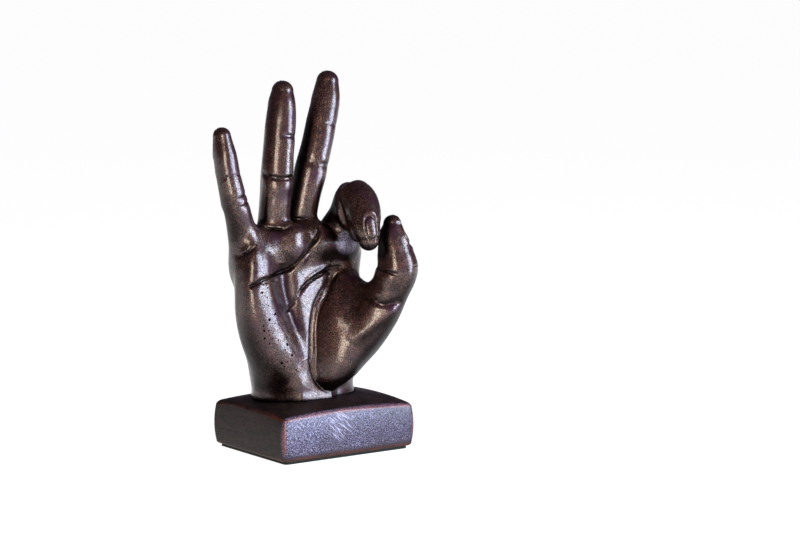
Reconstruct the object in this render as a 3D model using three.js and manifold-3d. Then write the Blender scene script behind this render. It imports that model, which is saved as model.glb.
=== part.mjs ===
// A cast hand ornament: a right hand whose thumb and forefinger close a ring, standing on a
// pillow-topped block. Millimetres, +Z up. The origin is under the middle of the block, on the
// underside of its felt. The palm faces -Y and the little finger is on the -X side.
//
// The hand is sculpted as one smooth distance field: limbs along splines for the fingers, cones and
// eggs for the flesh, and shallow grooves for the palm lines. The field is then meshed, thinned
// where it is flat, and cut to fit the block.
import * as THREE from "three";
import { mergeVertices } from "three/addons/utils/BufferGeometryUtils.js";
import Module from "manifold-3d";

const wasm = await Module();
wasm.setup();

// Block and felt
const feltThickness = 1.5;
const feltInset = 2; // on each side
const block = {
  width: 81.5, // along X
  depth: 68.3, // along Y
  cornerHeight: 23.7, // above the table, at the four corners
  edgeRise: 1.6, // how much higher the middle of each edge is
  crownRise: 2.6, // what the middle of the top rises on top of both edges
  sideBulge: 0.8, // how far the side faces swell at mid height
  cornerRadius: 2.2, // of the upright corners
  rimRadius: 1.6, // of the top and bottom edges
};
const seatHeight = 26.5; // the flat floor of the socket that the wrist stands in
const castingGap = 0.4; // all round the wrist in its socket

// Fixings: one stud from the wrist through the block, and a pin that stops the hand turning
const foot = { x: -3, y: 6 }; // the middle of the wrist
const stud = { radius: 4, bottom: 2.2, top: 50.5 };
const washer = { radius: 10, thickness: 1.6 };
const nut = { acrossFlats: 13, height: 6.5 };
const pin = { radius: 2.5, x: -17, bottom: 17.5, top: 33 };
const counterbore = { radius: 11.5, ceiling: 11.5 };
const fixingGap = 0.3; // round the stud and the pin
const plinthBoreRadius = 4.5; // for the stud
const boreDepthSpare = 1.5; // past the ends of the stud and the pin

// Mesh density
const castStep = 1.2; // grid of the hand's field
const castTriangles = 10700;
const socketStep = 1.5;
const settleSteps = 2; // Newton steps that bring each vertex on to the surface
const outlineSteps = { corner: 3, side: 8 }; // of the block

// Fingers: rows of [x, y, z, radius] from the palm to the tip, a spline through their joints.
// Everything on a finger lies at a place along its rows, counted from 0:
// creases [place, depth, half width, height of the lip below, bow, side: 1 towards the thumb or 0],
// pads [place, height, half width], knuckles [place, height, half width] and the nail.
const littleFinger = {
  rows: [[-36, 5, 96, 9.3], [-40.4, 3, 111, 7.8], [-45.4, 0.5, 125, 6.6], [-48.2, 0, 133, 6.5],
    [-50.7, 0.3, 144, 6.1], [-52.1, 1.5, 155, 5.9], [-52.9, 2.5, 164.8, 4.7]],
  palmTowards: [-48, -300, 140],
  depth: 0.98,
  square: 2.5,
  creases: [[2.75, 0.9, 0.09, 0.3, 0.06, 0], [3.85, 0.5, 0.08, 0.35, -0.05, 0],
    [0.8, 0.7, 0.08, 0.2, 0, 1]],
  pads: [[3.35, 0.4, 0.3], [2, 0.4, 0.45], [5, 0.4, 0.5]],
  knuckles: [[2.8, 0.4, 0.3], [4.3, 0.25, 0.22]],
  nail: { at: 5.6, half: 0.6, spread: 0.9, height: 0.4 },
};
const ringFinger = {
  rows: [[-20.5, 7, 100, 10.5], [-20.9, 5, 117, 8.4], [-20.9, 3.6, 130, 7.9], [-19.9, 3, 144, 8.2],
    [-18.5, 3.8, 156, 7.8], [-16.2, 5, 170, 7.7], [-14.6, 6, 180, 6.8], [-13.8, 6.5, 185.7, 5.6]],
  palmTowards: [-20, -300, 140],
  depth: 0.98,
  square: 2.8,
  creases: [[2.95, 0.9, 0.06, 0.45, 0.08, 0], [4.75, 0.6, 0.05, 0.3, 0.03, 1],
    [1, 0.9, 0.08, 0.3, 0, 0]],
  pads: [[2, 0.4, 0.5], [4, 0.4, 0.4], [6, 0.3, 0.6]],
  knuckles: [[2.9, 0.5, 0.3], [4.8, 0.3, 0.22]],
  nail: { at: 6.4, half: 0.75, spread: 0.9, height: 0.45 },
};
const middleFinger = {
  rows: [[-5, 8, 103, 10.8], [-4, 6, 118, 8.4], [-1.8, 5, 131, 7.9], [2.2, 5, 145, 8.2],
    [6.2, 5.8, 157, 7.8], [10.8, 7.5, 170, 7.7], [14.5, 9, 181, 7.1], [16.3, 10, 189.5, 5.8]],
  palmTowards: [0, -300, 140],
  depth: 0.98,
  square: 2.8,
  creases: [[3.15, 0.9, 0.07, 0.5, 0.07, 0], [4.85, 0.5, 0.06, 0.3, 0.04, 1],
    [1.15, 0.8, 0.08, 0.2, 0, 0]],
  pads: [[2.1, 0.4, 0.45], [4, 0.4, 0.4], [6, 0.3, 0.6]],
  knuckles: [[3, 0.5, 0.3], [4.9, 0.3, 0.22]],
  nail: { at: 6.4, half: 0.75, spread: 0.9, height: 0.45 },
};
const foreFinger = {
  rows: [[13, 6, 96, 12], [14.2, 2, 109, 10], [17.2, -4.5, 120.5, 9], [17.6, -11, 130.7, 9.1],
    [17.4, -18, 129.6, 8.8], [16, -24, 124, 8.3], [14, -27.4, 117.2, 7.4],
    [14.2, -30.2, 110.6, 6.3], [14, -30.8, 108.6, 5]],
  palmTowards: [11, -10, 112],
  square: 2.3,
  creases: [[1.4, 0.6, 0.08, 0.2, 0, 0]],
  nail: { at: 6.9, half: 1.1, spread: 0.7, height: 0.42 },
};
const thumb = {
  rows: [[10, -9, 50, 14], [18, -17, 61, 13], [24.6, -23.5, 72, 11.2], [28.9, -27.8, 83, 10],
    [32.2, -30.5, 94, 10.3], [31.6, -29.5, 103, 9], [30.6, -28, 112, 6.8], [31.1, -27.2, 117.5, 4.8]],
  palmTowards: [1.5, -23, 108],
  square: 2.8,
  creases: [[3.9, 0.9, 0.09, 0.3, 0, 0]],
  knuckles: [[4.2, 0.2, 0.25]],
  nail: { at: 6.2, half: 0.9, spread: 0.85, height: 0.5 },
};
// The fleshy ridge from the little finger down to the wrist
const outerRidge = {
  rows: [[-34.5, 0, 112, 8.6], [-35.4, -1.5, 100, 9.8], [-36, -2.5, 88, 10.6], [-35.2, -2.5, 76, 11.5],
    [-32.4, -2, 64, 12.3], [-27.6, -1, 52, 12.5], [-22, 2, 42, 11.7]],
  palmTowards: [8, -300, 80],
  depth: 1.02,
  square: 2.4,
};

// Rods as [start, end, start radius, end radius], and eggs as [middle, half axes]
const bones = [
  [[-17, 6, 38], [-36, 5, 98], 13, 9.2],
  [[-9, 8, 40], [-21, 7, 104], 15, 11.5],
  [[0, 8, 40], [-4, 8, 107], 15, 12],
  [[8, 6, 42], [18.8, 5, 101], 15, 12.5],
];
const wristRods = [
  [[-13.6, 6, 14], [-13.4, 6, 40], 15, 14.4],
  [[9, 6, 14], [9, 6, 40], 15.5, 15.5],
];
const palmFlesh = [
  [[-12, 2.2, 93], [-10.5, 3.2, 62], 10.2, 10],
  [[-25, 2, 98], [-22, 2, 60], 9, 10.5],
];
const rootPads = [ // below the fingers on the palm side, then the knuckles on the back
  [[-17.5, -3, 108], [8, 7.5, 10]],
  [[-2, -2, 106], [8.5, 8.5, 12]],
  [[-28, -1, 108], [8, 8, 10]],
  [[13, -1, 106], [10, 9, 10]],
  [[-36.5, 11.5, 104], [6, 4.5, 7]],
  [[-21, 13.5, 108], [6.5, 6, 8]],
  [[-4.5, 15, 110], [7, 6.5, 8.5]],
  [[14.5, 10, 104], [7.5, 8.5, 8.5]],
];
const thumbBall = { middle: [8, -8, 57], half: [16, 17, 27], turnX: -12, turnY: 24 };
const thumbBallTop = [[16, -4, 86], [8, -8, 66], 8, 12];
const web = [[20, -4, 78], [26, -17, 76.5], 9, 8.5]; // of skin between the palm and the thumb
const foreFlesh = [[15, -12, 124], [15.5, -20, 114.5], 6.5, 6.2]; // inside the bent forefinger
const foreFold = [[5.2, -16.8, 121.5], [5.5, 3, 7]]; // cut out beside it
const wristLip = { height: 1, from: 28, reach: 2.2 }; // spreads on to the block

// How wide each joint is blended
const fillet = {
  bones: 7, wrist: 14, wristToPalm: 10, ridge: 9, pads: 4, flesh: 5, thumbBall: 9, thumb: 4,
  thumbToPalm: 1.2, web: 7, fingers: 2, fingersToPalm: 4, foreFlesh: 3, foreFold: 2, foreToPalm: 2.5,
};

// Lines of the palm: points [x, z] seen square on to the palm, a depth (below 0 it is a ridge), a
// half width and a sharpness
const palmLines = [
  { name: "heart", depth: 1.6, width: 0.9, power: 1.5,
    points: [[-45.8, 88.4], [-43.4, 89.8], [-39.6, 91.5], [-34, 92.6], [-28.5, 93.6], [-20.6, 95],
      [-17, 97.2], [-11.9, 102.1], [-7.7, 106.2], [-2.9, 111.9], [-0.5, 117]] },
  { name: "second strand of the heart line", depth: 0.7, width: 0.6, power: 1.5,
    points: [[-40, 90], [-33, 91], [-27, 90.8]] },
  { name: "head", depth: 1.4, width: 0.8, power: 1.5,
    points: [[-15.4, 81.8], [-11.3, 86], [-7.4, 88.8], [1.6, 92.3], [8.2, 94.3], [14, 94.6]] },
  { name: "ridge above the head line", depth: -0.5, width: 1.2, power: 2,
    points: [[-11, 88.5], [-6, 91.8], [1.6, 95], [7, 96.8]] },
  { name: "short crease", depth: 0.6, width: 0.9, power: 1.5,
    points: [[-16, 80.4], [-19.2, 76.5], [-23.5, 72.5]] },
  { name: "valley inside the outer ridge", depth: 1.2, width: 4, power: 2,
    points: [[-23, 99], [-24, 90.5], [-22.5, 80], [-20, 69.4], [-17, 59.8], [-14.5, 50]] },
  { name: "swelling in the middle", depth: -1, width: 6, power: 2,
    points: [[-14, 100], [-16, 92], [-15, 84]] },
  { name: "life", depth: 1.6, width: 1.3, power: 1.5,
    points: [[7.3, 92.1], [4.2, 87.5], [-0.4, 82.8], [-4.7, 77], [-7.1, 70.4], [-8.6, 63.2], [-9.6, 56.2],
      [-10.4, 49.2], [-9.8, 43.1], [-7.5, 37.2], [-3.8, 34], [4, 31.9], [14, 30.5]] },
  { name: "hollow beside the life line", depth: 1.2, width: 5, power: 2,
    points: [[1, 88], [-6, 80], [-9.5, 70], [-11.5, 58], [-12, 47], [-11, 38]] },
];
const baseLines = [
  { name: "root of the ring finger", depth: 1.1, width: 0.9, power: 1.5,
    points: [[-31, 117.5], [-28, 116.6], [-24.9, 116], [-21.3, 116.2], [-16, 118]] },
  { name: "root of the middle finger", depth: 0.7, width: 0.9, power: 1.5,
    points: [[-14, 121], [-8, 120], [-2, 121.5]] },
  { name: "root of the little finger", depth: 1.1, width: 0.8, power: 1.5,
    points: [[-47, 103], [-43, 106.6], [-40, 109.3]] },
  { name: "ridge along the ball of the thumb", depth: -0.9, width: 3.2, power: 2,
    points: [[6, 58], [14, 65], [21, 71], [27, 76]] },
];
// The lines are on the palm side only: between two heights, full at the front and gone at the back
const lineZone = { low: 28, high: 125, full: -2, gone: 4, endFade: 0.6 };
const thumbFoot = { depth: 1.3, width: 1.6, power: 1.5,
  points: [[17.2, 80.5], [17.2, 78.8], [19.6, 77.4], [23.1, 77.2], [28, 78.4]] };

// Small functions for shaping
const far = 14; // a limb is not worked out beyond this distance
const clamp = (x, low, high) => Math.min(Math.max(x, low), high);
const bell = (x, width) => Math.exp(-((x / width) ** 2));
const ease = (from, to, x) => {
  const t = clamp((x - from) / (to - from), 0, 1);
  return t * t * (3 - 2 * t);
};
// The smaller of two distances, with a fillet of about k where they meet
const blend = (a, b, k) => {
  const h = Math.max(k - Math.abs(a - b), 0) / k;
  return Math.min(a, b) - h * h * k * 0.25;
};

// Small vector helpers on plain arrays
const dot = (a, b) => a.reduce((sum, value, i) => sum + value * b[i], 0);
const minus = (a, b) => a.map((value, i) => value - b[i]);
const plus = (a, b, scale) => a.map((value, i) => value + b[i] * scale);
const unit = (a) => a.map((value) => value / Math.max(Math.hypot(...a), 1e-6));

// A point and its rate on the uniform Catmull-Rom spline through rows, at t from 0 to rows - 1
function splineAt(rows, t) {
  const last = rows.length - 1;
  const i = Math.min(Math.floor(t), last - 1);
  const u = t - i;
  const before = i > 0 ? rows[i - 1] : plus(rows[0], minus(rows[1], rows[0]), -1);
  const after = i + 2 <= last ? rows[i + 2] : plus(rows[last], minus(rows[last], rows[last - 1]), 1);
  const point = [];
  const rate = [];
  for (let j = 0; j < rows[0].length; j++) {
    const [a, b, c, d] = [before[j], rows[i][j], rows[i + 1][j], after[j]];
    const k1 = c - a;
    const k2 = 2 * a - 5 * b + 4 * c - d;
    const k3 = 3 * b - a - 3 * c + d;
    point.push(0.5 * (2 * b + u * (k1 + u * (k2 + u * k3))));
    rate.push(0.5 * (k1 + u * (2 * k2 + 3 * u * k3)));
  }
  return { point, rate };
}

// The place t on the spline that is nearest to p: the nearest chord first, then two Newton steps
function nearestOn(rows, p) {
  let t = 0;
  let best = Infinity;
  for (let i = 0; i + 1 < rows.length; i++) {
    let along = 0;
    let length = 0;
    for (let j = 0; j < p.length; j++) {
      const chord = rows[i + 1][j] - rows[i][j];
      along += (p[j] - rows[i][j]) * chord;
      length += chord * chord;
    }
    const s = clamp(along / length, 0, 1);
    let gap = 0;
    for (let j = 0; j < p.length; j++) {
      gap += (p[j] - rows[i][j] - s * (rows[i + 1][j] - rows[i][j])) ** 2;
    }
    if (gap < best) {
      best = gap;
      t = i + s;
    }
  }
  for (let step = 0; step < 2; step++) {
    const { point, rate } = splineAt(rows, t);
    let offset = 0;
    let speed = 0;
    for (let j = 0; j < p.length; j++) {
      offset += (p[j] - point[j]) * rate[j];
      speed += rate[j] * rate[j];
    }
    t = clamp(t + offset / Math.max(speed, 1e-6), 0, rows.length - 1);
  }
  return t;
}

// Distance to a tapered rod with round ends
function cone(p, a, b, ra, rb) {
  const axis = minus(b, a);
  const t = clamp(dot(minus(p, a), axis) / dot(axis, axis), 0, 1);
  return Math.hypot(...minus(p, plus(a, axis, t))) - (ra + (rb - ra) * t);
}

// Distance to an egg with three half axes, turned about X and then Y by degrees
function egg(p, centre, half, turnX = 0, turnY = 0) {
  const q = new THREE.Vector3(...minus(p, centre));
  if (turnY) q.applyAxisAngle(new THREE.Vector3(0, 1, 0), THREE.MathUtils.degToRad(-turnY));
  if (turnX) q.applyAxisAngle(new THREE.Vector3(1, 0, 0), THREE.MathUtils.degToRad(-turnX));
  const k0 = Math.hypot(q.x / half[0], q.y / half[1], q.z / half[2]);
  const k1 = Math.hypot(q.x / half[0] ** 2, q.y / half[1] ** 2, q.z / half[2] ** 2);
  return (k0 * (k0 - 1)) / Math.max(k1, 1e-6);
}

// Distance to a finger: its spline's radius, squared off on the palm side, with creases and pads
// there, and knuckles and a nail on the back. The angle round it is 0 towards the palm, pi behind.
function limb(p, finger) {
  const { rows, palmTowards, depth = 1, square = 2, creases = [], pads = [], knuckles = [], nail } = finger;
  finger.low ??= [0, 1, 2].map((k) => Math.min(...rows.map((row) => row[k] - row[3])) - far);
  finger.high ??= [0, 1, 2].map((k) => Math.max(...rows.map((row) => row[k] + row[3])) + far);
  for (let j = 0; j < 3; j++) {
    if (p[j] < finger.low[j] || p[j] > finger.high[j]) return far;
  }
  const t = nearestOn(rows, p);
  const { point, rate } = splineAt(rows, t);
  const radius = point[3];
  const centre = point.slice(0, 3);
  const along = unit(rate.slice(0, 3));
  const away = minus(p, centre);
  const aim = minus(palmTowards, centre);
  const towards = unit(plus(aim, along, -dot(aim, along)));
  const across = [
    along[1] * towards[2] - along[2] * towards[1],
    along[2] * towards[0] - along[0] * towards[2],
    along[0] * towards[1] - along[1] * towards[0],
  ];
  const forward = dot(away, towards);
  const sideways = dot(away, across);
  const angle = Math.atan2(Math.abs(sideways), forward);
  const power = 2 + (square - 2) * ease(2.4, 1.4, angle);
  const section = Math.abs(forward / depth) ** power + Math.abs(sideways) ** power;
  const off = Math.hypot(Math.max(section, 1e-9) ** (1 / power), dot(away, along));
  const skin = clamp(off / radius, 0, 1); // fades the detail out towards the bone
  const palmSide = ease(2, 1, angle) * skin;
  const backSide = ease(1.7, 2.4, angle) * skin;
  let d = off - radius;
  for (const [at, cut, width, lip, bow, side] of creases) {
    const x = t - at - bow * angle ** 2;
    const here = palmSide * (side ? ease(-0.4, 0.4, (side * sideways) / radius) : 1);
    d += here * (cut * bell(x, width) - lip * bell(x + 4 * width, 3 * width));
  }
  for (const [at, height, width] of pads) {
    d -= height * bell(t - at, width) * ease(1.7, 0.3, angle) * skin;
  }
  for (const [at, height, width] of knuckles) {
    const wrinkles = 1 - 0.45 * Math.cos(((t - at) / width) * 4 * Math.PI);
    d -= height * bell(t - at, width) * wrinkles * backSide;
  }
  if (nail) {
    const u = Math.abs((t - nail.at) / nail.half);
    const w = (Math.PI - angle) / nail.spread;
    const edge = Math.cbrt(u ** 3 + w ** 3); // 1 on the nail's rounded outline
    const fold = 1.4 * bell(edge - 1.04, 0.1) - 0.8 * bell(edge - 1.3, 0.14) - 0.5 * ease(1, 0.75, edge);
    d += nail.height * fold * skin;
  }
  return d;
}

// How deep a line is cut at p, and how deep a set of lines is on the palm side, faded at their ends
function groove(p, line, t = nearestOn(line.points, [p[0], p[2]])) {
  const { point } = splineAt(line.points, t);
  const off = Math.hypot(p[0] - point[0], p[2] - point[1]);
  return line.depth * Math.exp(-((off / line.width) ** line.power));
}

function grooves(p, lines) {
  const { low, high, full, gone, endFade } = lineZone;
  const fade = clamp((gone - p[1]) / (gone - full), 0, 1);
  if (fade === 0 || p[2] < low || p[2] > high) return 0;
  let sum = 0;
  for (const line of lines) {
    const t = nearestOn(line.points, [p[0], p[2]]);
    const ends = clamp(Math.min(t, line.points.length - 1 - t) / endFade, 0, 1) ** 0.7;
    sum += groove(p, line, t) * ends * fade;
  }
  return sum;
}

// Distance to the palm with its wrist, to the thumb with its ball, and to the whole hand: negative
// inside
function palmField(p) {
  const [little, ring, middle, fore] = bones.map((bone) => cone(p, ...bone));
  const [wristLeft, wristRight] = wristRods.map((rodOf) => cone(p, ...rodOf));
  let palm = blend(blend(little, ring, fillet.bones), blend(middle, fore, fillet.bones), fillet.bones);
  palm = blend(palm, blend(wristLeft, wristRight, fillet.wrist), fillet.wristToPalm);
  palm = blend(palm, limb(p, outerRidge), fillet.ridge);
  for (const pad of rootPads) palm = blend(palm, egg(p, ...pad), fillet.pads);
  for (const flesh of palmFlesh) palm = blend(palm, cone(p, ...flesh), fillet.flesh);
  return palm + grooves(p, palmLines);
}

function thumbField(p) {
  const { middle, half, turnX, turnY } = thumbBall;
  const ball = blend(egg(p, middle, half, turnX, turnY), cone(p, ...thumbBallTop), fillet.thumbBall);
  const joined = blend(ball, limb(p, thumb), fillet.thumb);
  return p[1] < 0 ? joined + groove(p, thumbFoot) : joined;
}

function handField(p) {
  let hand = blend(palmField(p), thumbField(p), fillet.thumbToPalm);
  hand = blend(hand, cone(p, ...web), fillet.web);
  const outerTwo = blend(limb(p, littleFinger), limb(p, middleFinger), fillet.fingers);
  hand = blend(hand, blend(outerTwo, limb(p, ringFinger), fillet.fingers), fillet.fingersToPalm);
  let fore = blend(limb(p, foreFinger), cone(p, ...foreFlesh), fillet.foreFlesh);
  fore = -blend(-fore, egg(p, ...foreFold), fillet.foreFold);
  hand = blend(hand, fore, fillet.foreToPalm) + grooves(p, baseLines);
  return hand - wristLip.height * bell(Math.max(p[2] - wristLip.from, 0), wristLip.reach);
}

function gradientOf(field, p) {
  const e = 0.05;
  return [0, 1, 2].map((j) => {
    const ahead = p.slice();
    const behind = p.slice();
    ahead[j] += e;
    behind[j] -= e;
    return (field(ahead) - field(behind)) / (2 * e);
  });
}

// Moves a point onto the surface where the field is 0
function settle(field, p) {
  for (let i = 0; i < settleSteps; i++) {
    const g = gradientOf(field, p);
    const move = clamp(field(p) / Math.max(dot(g, g), 0.2), -1, 1);
    p = plus(p, g, -move);
  }
  return p;
}

// The eight corners of a grid cell, and its twelve edges as pairs of corners
const corners = [0, 1, 2, 3, 4, 5, 6, 7].map((n) => [n & 1, (n >> 1) & 1, n >> 2]);
const cellEdges = [
  [0, 1], [2, 3], [4, 5], [6, 7], [0, 2], [1, 3], [4, 6], [5, 7], [0, 4], [1, 5], [2, 6], [3, 7],
];

// Whether the corners of one sign hang together along the cell's edges
function hangTogether(signs, sign) {
  const members = [0, 1, 2, 3, 4, 5, 6, 7].filter((n) => signs[n] === sign);
  const reached = new Set(members.slice(0, 1));
  for (let pass = 0; pass < 4; pass++) {
    for (const [a, b] of cellEdges) {
      const joined = signs[a] === sign && signs[b] === sign;
      if (joined && (reached.has(a) || reached.has(b))) reached.add(a).add(b);
    }
  }
  return reached.size === members.length;
}

// Calls visit with every i, j, k from a start below an end, i the fastest
function eachOf(start, end, stride, visit) {
  for (let k = start[2]; k < end[2]; k += stride) {
    for (let j = start[1]; j < end[1]; j += stride) {
      for (let i = start[0]; i < end[0]; i += stride) visit(i, j, k);
    }
  }
}

// The field on a grid. A block of cells far from the surface takes the value at its middle, with a
// quarter of the block's reach to spare because the field is only nearly a distance.
function sampleField(field, low, count, step) {
  const values = new Float32Array(count[0] * count[1] * count[2]);
  const span = 4;
  const reach = 0.5 * span * step * Math.sqrt(3) * 1.25;
  const place = (cell) => low.map((value, axis) => value + cell[axis] * step);
  eachOf([0, 0, 0], count, span, (i, j, k) => {
    const middle = field(place([i + span / 2, j + span / 2, k + span / 2]));
    const end = [i, j, k].map((index, axis) => Math.min(index + span, count[axis]));
    eachOf([i, j, k], end, 1, (a, b, c) => {
      const value = Math.abs(middle) > reach ? middle : field(place([a, b, c]));
      values[(c * count[1] + b) * count[0] + a] = value;
    });
  });
  return values;
}

// Surface nets: one vertex in each grid cell that the surface crosses, one quad on each crossed edge.
// A cell that two sheets of the surface cross is filled a little first, so the mesh stays one sheet.
function netOf(field, low, high, step) {
  const count = low.map((value, j) => Math.ceil((high[j] - value) / step) + 1);
  const at = (i, j, k) => (k * count[1] + j) * count[0] + i;
  const values = sampleField(field, low, count, step);
  const cellsEnd = count.map((number) => number - 1);
  const eachCell = (visit) => eachOf([0, 0, 0], cellsEnd, 1, (i, j, k) => {
    const indices = corners.map(([a, b, c]) => at(i + a, j + b, k + c));
    const inside = indices.filter((index) => values[index] < 0).length;
    if (inside > 0 && inside < 8) visit(indices, i, j, k);
  });
  for (let filled = 1; filled > 0;) {
    filled = 0;
    eachCell((indices) => {
      const signs = indices.map((index) => values[index] < 0);
      if (hangTogether(signs, true) && hangTogether(signs, false)) return;
      const outside = indices.filter((index) => values[index] >= 0);
      outside.sort((a, b) => values[a] - values[b]);
      values[outside[0]] = -1e-3;
      filled++;
    });
  }
  const cellVertex = new Map();
  const points = [];
  eachCell((indices, i, j, k) => {
    const f = indices.map((index) => values[index]);
    const crossed = cellEdges.filter(([a, b]) => f[a] < 0 !== f[b] < 0);
    let sum = [0, 0, 0];
    for (const [a, b] of crossed) {
      const s = f[a] / (f[a] - f[b]);
      sum = plus(sum, plus(corners[a], minus(corners[b], corners[a]), s), 1 / crossed.length);
    }
    cellVertex.set(indices[0], points.length);
    points.push(settle(field, low.map((value, axis) => value + ([i, j, k][axis] + sum[axis]) * step)));
  });
  const stride = [1, count[0], count[0] * count[1]];
  const faces = [];
  const gap = (a, b) => Math.hypot(...minus(points[a], points[b]));
  eachOf([1, 1, 1], cellsEnd, 1, (i, j, k) => {
    const here = at(i, j, k);
    const inside = values[here] < 0;
    for (let axis = 0; axis < 3; axis++) {
      if (inside === values[here + stride[axis]] < 0) continue;
      const u = stride[(axis + 1) % 3];
      const v = stride[(axis + 2) % 3];
      const quad = [here - u - v, here - v, here, here - u].map((cell) => cellVertex.get(cell));
      const [a, b, c, d] = inside ? quad : quad.reverse();
      faces.push(...(gap(a, c) < gap(b, d) ? [[a, b, c], [a, c, d]] : [[b, c, d], [b, d, a]]));
    }
  });
  return { points, faces };
}

// The upper half of a symmetric 4 x 4 table
const quadricPairs = [0, 1, 2, 3].flatMap((i) => [0, 1, 2, 3].filter((j) => j >= i).map((j) => [i, j]));

// Thins a mesh to about the given number of triangles by merging edges, the flattest first.
// A merge's cost is the summed squared distance to the planes that its two ends stand for, and a
// little for its length. It may not tip a face over or leave a sliver.
const thinning = { lengthCost: 1e-4, leastCosine: 0.6, leastShape: 0.15 };
function thin({ points, faces }, target) {
  const normalOf = (a, b, c) => new THREE.Vector3(...minus(b, a)).cross(new THREE.Vector3(...minus(c, a)));
  const quadrics = points.map(() => new Float64Array(10));
  for (const [a, b, c] of faces) {
    const n = normalOf(points[a], points[b], points[c]);
    const area = n.length() / 2;
    n.normalize();
    const plane = [n.x, n.y, n.z, -dot(n.toArray(), points[a])];
    for (const vertex of [a, b, c]) {
      quadricPairs.forEach(([i, j], slot) => {
        quadrics[vertex][slot] += area * plane[i] * plane[j];
      });
    }
  }
  const cost = (q, p) => {
    const h = [...p, 1];
    let sum = 0;
    quadricPairs.forEach(([i, j], slot) => {
      sum += q[slot] * h[i] * h[j] * (i === j ? 1 : 2);
    });
    return sum;
  };
  while (faces.length > target) {
    const around = points.map(() => []);
    faces.forEach((face, index) => face.forEach((vertex) => around[vertex].push(index)));
    const edges = faces.flatMap(([a, b, c]) => [[a, b], [b, c], [c, a]]).filter(([a, b]) => a < b);
    const candidates = edges.map(([a, b]) => {
      const q = quadrics[a].map((value, slot) => value + quadrics[b][slot]);
      const places = [points[a], points[b], plus(points[a], minus(points[b], points[a]), 0.5)];
      const costs = places.map((place) => cost(q, place));
      const best = costs.indexOf(Math.min(...costs));
      const length = Math.hypot(...minus(points[a], points[b]));
      return { a, b, q, place: places[best], cost: costs[best] + thinning.lengthCost * length ** 2 };
    });
    candidates.sort((x, y) => x.cost - y.cost);
    const busy = new Uint8Array(points.length);
    const gone = new Uint8Array(faces.length);
    let left = faces.length;
    const before = left;
    for (const { a, b, q, place } of candidates.slice(0, Math.ceil(candidates.length / 3))) {
      if (left <= target) break;
      if (busy[a] || busy[b]) continue;
      const ring = (vertex) => new Set(around[vertex].flatMap((index) => faces[index]));
      const ringB = ring(b);
      const shared = [...ring(a)].filter((vertex) => vertex !== a && vertex !== b && ringB.has(vertex));
      if (shared.length !== 2) continue;
      const onEdge = (index) => faces[index].includes(a) && faces[index].includes(b);
      const kept = [...around[a], ...around[b]].filter((index) => !onEdge(index));
      const flips = kept.some((index) => {
        const old = faces[index].map((vertex) => points[vertex]);
        const moved = faces[index].map((vertex) => (vertex === a || vertex === b ? place : points[vertex]));
        const [m, n] = [normalOf(...old), normalOf(...moved)];
        const sides = moved.map((point, i) => Math.hypot(...minus(point, moved[(i + 1) % 3])));
        const longest = Math.max(...sides);
        const tipped = m.dot(n) < thinning.leastCosine * m.length() * n.length();
        return tipped || n.length() < thinning.leastShape * longest ** 2;
      });
      if (flips) continue;
      for (const index of [...around[a], ...around[b]]) {
        for (const vertex of faces[index]) busy[vertex] = 1;
        if (onEdge(index)) gone[index] = 1;
      }
      for (const index of around[b]) {
        faces[index] = faces[index].map((vertex) => (vertex === b ? a : vertex));
      }
      points[a] = place;
      quadrics[a] = q;
      left -= 2;
    }
    faces = faces.filter((_, index) => !gone[index]);
    if (left === before) break;
  }
  return { points, faces };
}

function geometryOf({ points, faces }) {
  const geometry = new THREE.BufferGeometry();
  geometry.setAttribute("position", new THREE.Float32BufferAttribute(points.flat(), 3));
  geometry.setIndex(faces.flat());
  return geometry;
}

function solidOf(geometry) {
  const bare = geometry.clone();
  bare.deleteAttribute("normal");
  bare.deleteAttribute("uv");
  const merged = mergeVertices(bare, 1e-4);
  return new wasm.Manifold(new wasm.Mesh({
    numProp: 3,
    vertProperties: merged.attributes.position.array,
    triVerts: new Uint32Array(merged.index.array),
  }));
}

function geometryFrom(solid) {
  const mesh = solid.getMesh();
  const geometry = new THREE.BufferGeometry();
  geometry.setAttribute("position", new THREE.BufferAttribute(mesh.vertProperties, 3));
  geometry.setIndex(new THREE.BufferAttribute(mesh.triVerts, 1));
  return geometry;
}

// An upright cylinder between two heights
function rod(x, y, radius, bottom, top, sides = 32) {
  const geometry = new THREE.CylinderGeometry(radius, radius, top - bottom, sides);
  geometry.rotateX(Math.PI / 2);
  return geometry.translate(x, y, (bottom + top) / 2);
}

// A slab that holds everything below a height
function slabBelow(height) {
  const size = 200;
  return new THREE.BoxGeometry(size, size, size).translate(0, 0, height - size / 2);
}

// The block: rings of a rounded rectangle, stacked up the sides and then drawn in over the crown
function blockHeight(x, y) {
  const acrossX = 1 - (x / (block.width / 2)) ** 2;
  const acrossY = 1 - (y / (block.depth / 2)) ** 2;
  return block.cornerHeight + block.edgeRise * (acrossX + acrossY) + block.crownRise * acrossX * acrossY;
}

function roundedRectangle(width, depth, radius, cornerSteps, sideSteps) {
  const points = [];
  const quarters = [[1, -1], [1, 1], [-1, 1], [-1, -1]];
  quarters.forEach(([sx, sy], index) => {
    const centre = [sx * (width / 2 - radius), sy * (depth / 2 - radius)];
    for (let i = 0; i <= cornerSteps; i++) {
      const angle = ((index - 1) * Math.PI) / 2 + (i / cornerSteps) * (Math.PI / 2);
      points.push([centre[0] + radius * Math.cos(angle), centre[1] + radius * Math.sin(angle)]);
    }
    const [nx, ny] = quarters[(index + 1) % 4];
    const from = points[points.length - 1];
    const angle = (index * Math.PI) / 2;
    const to = [
      nx * (width / 2 - radius) + radius * Math.cos(angle),
      ny * (depth / 2 - radius) + radius * Math.sin(angle),
    ];
    for (let i = 1; i < sideSteps; i++) points.push(plus(from, minus(to, from), i / sideSteps));
  });
  return points;
}

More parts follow.
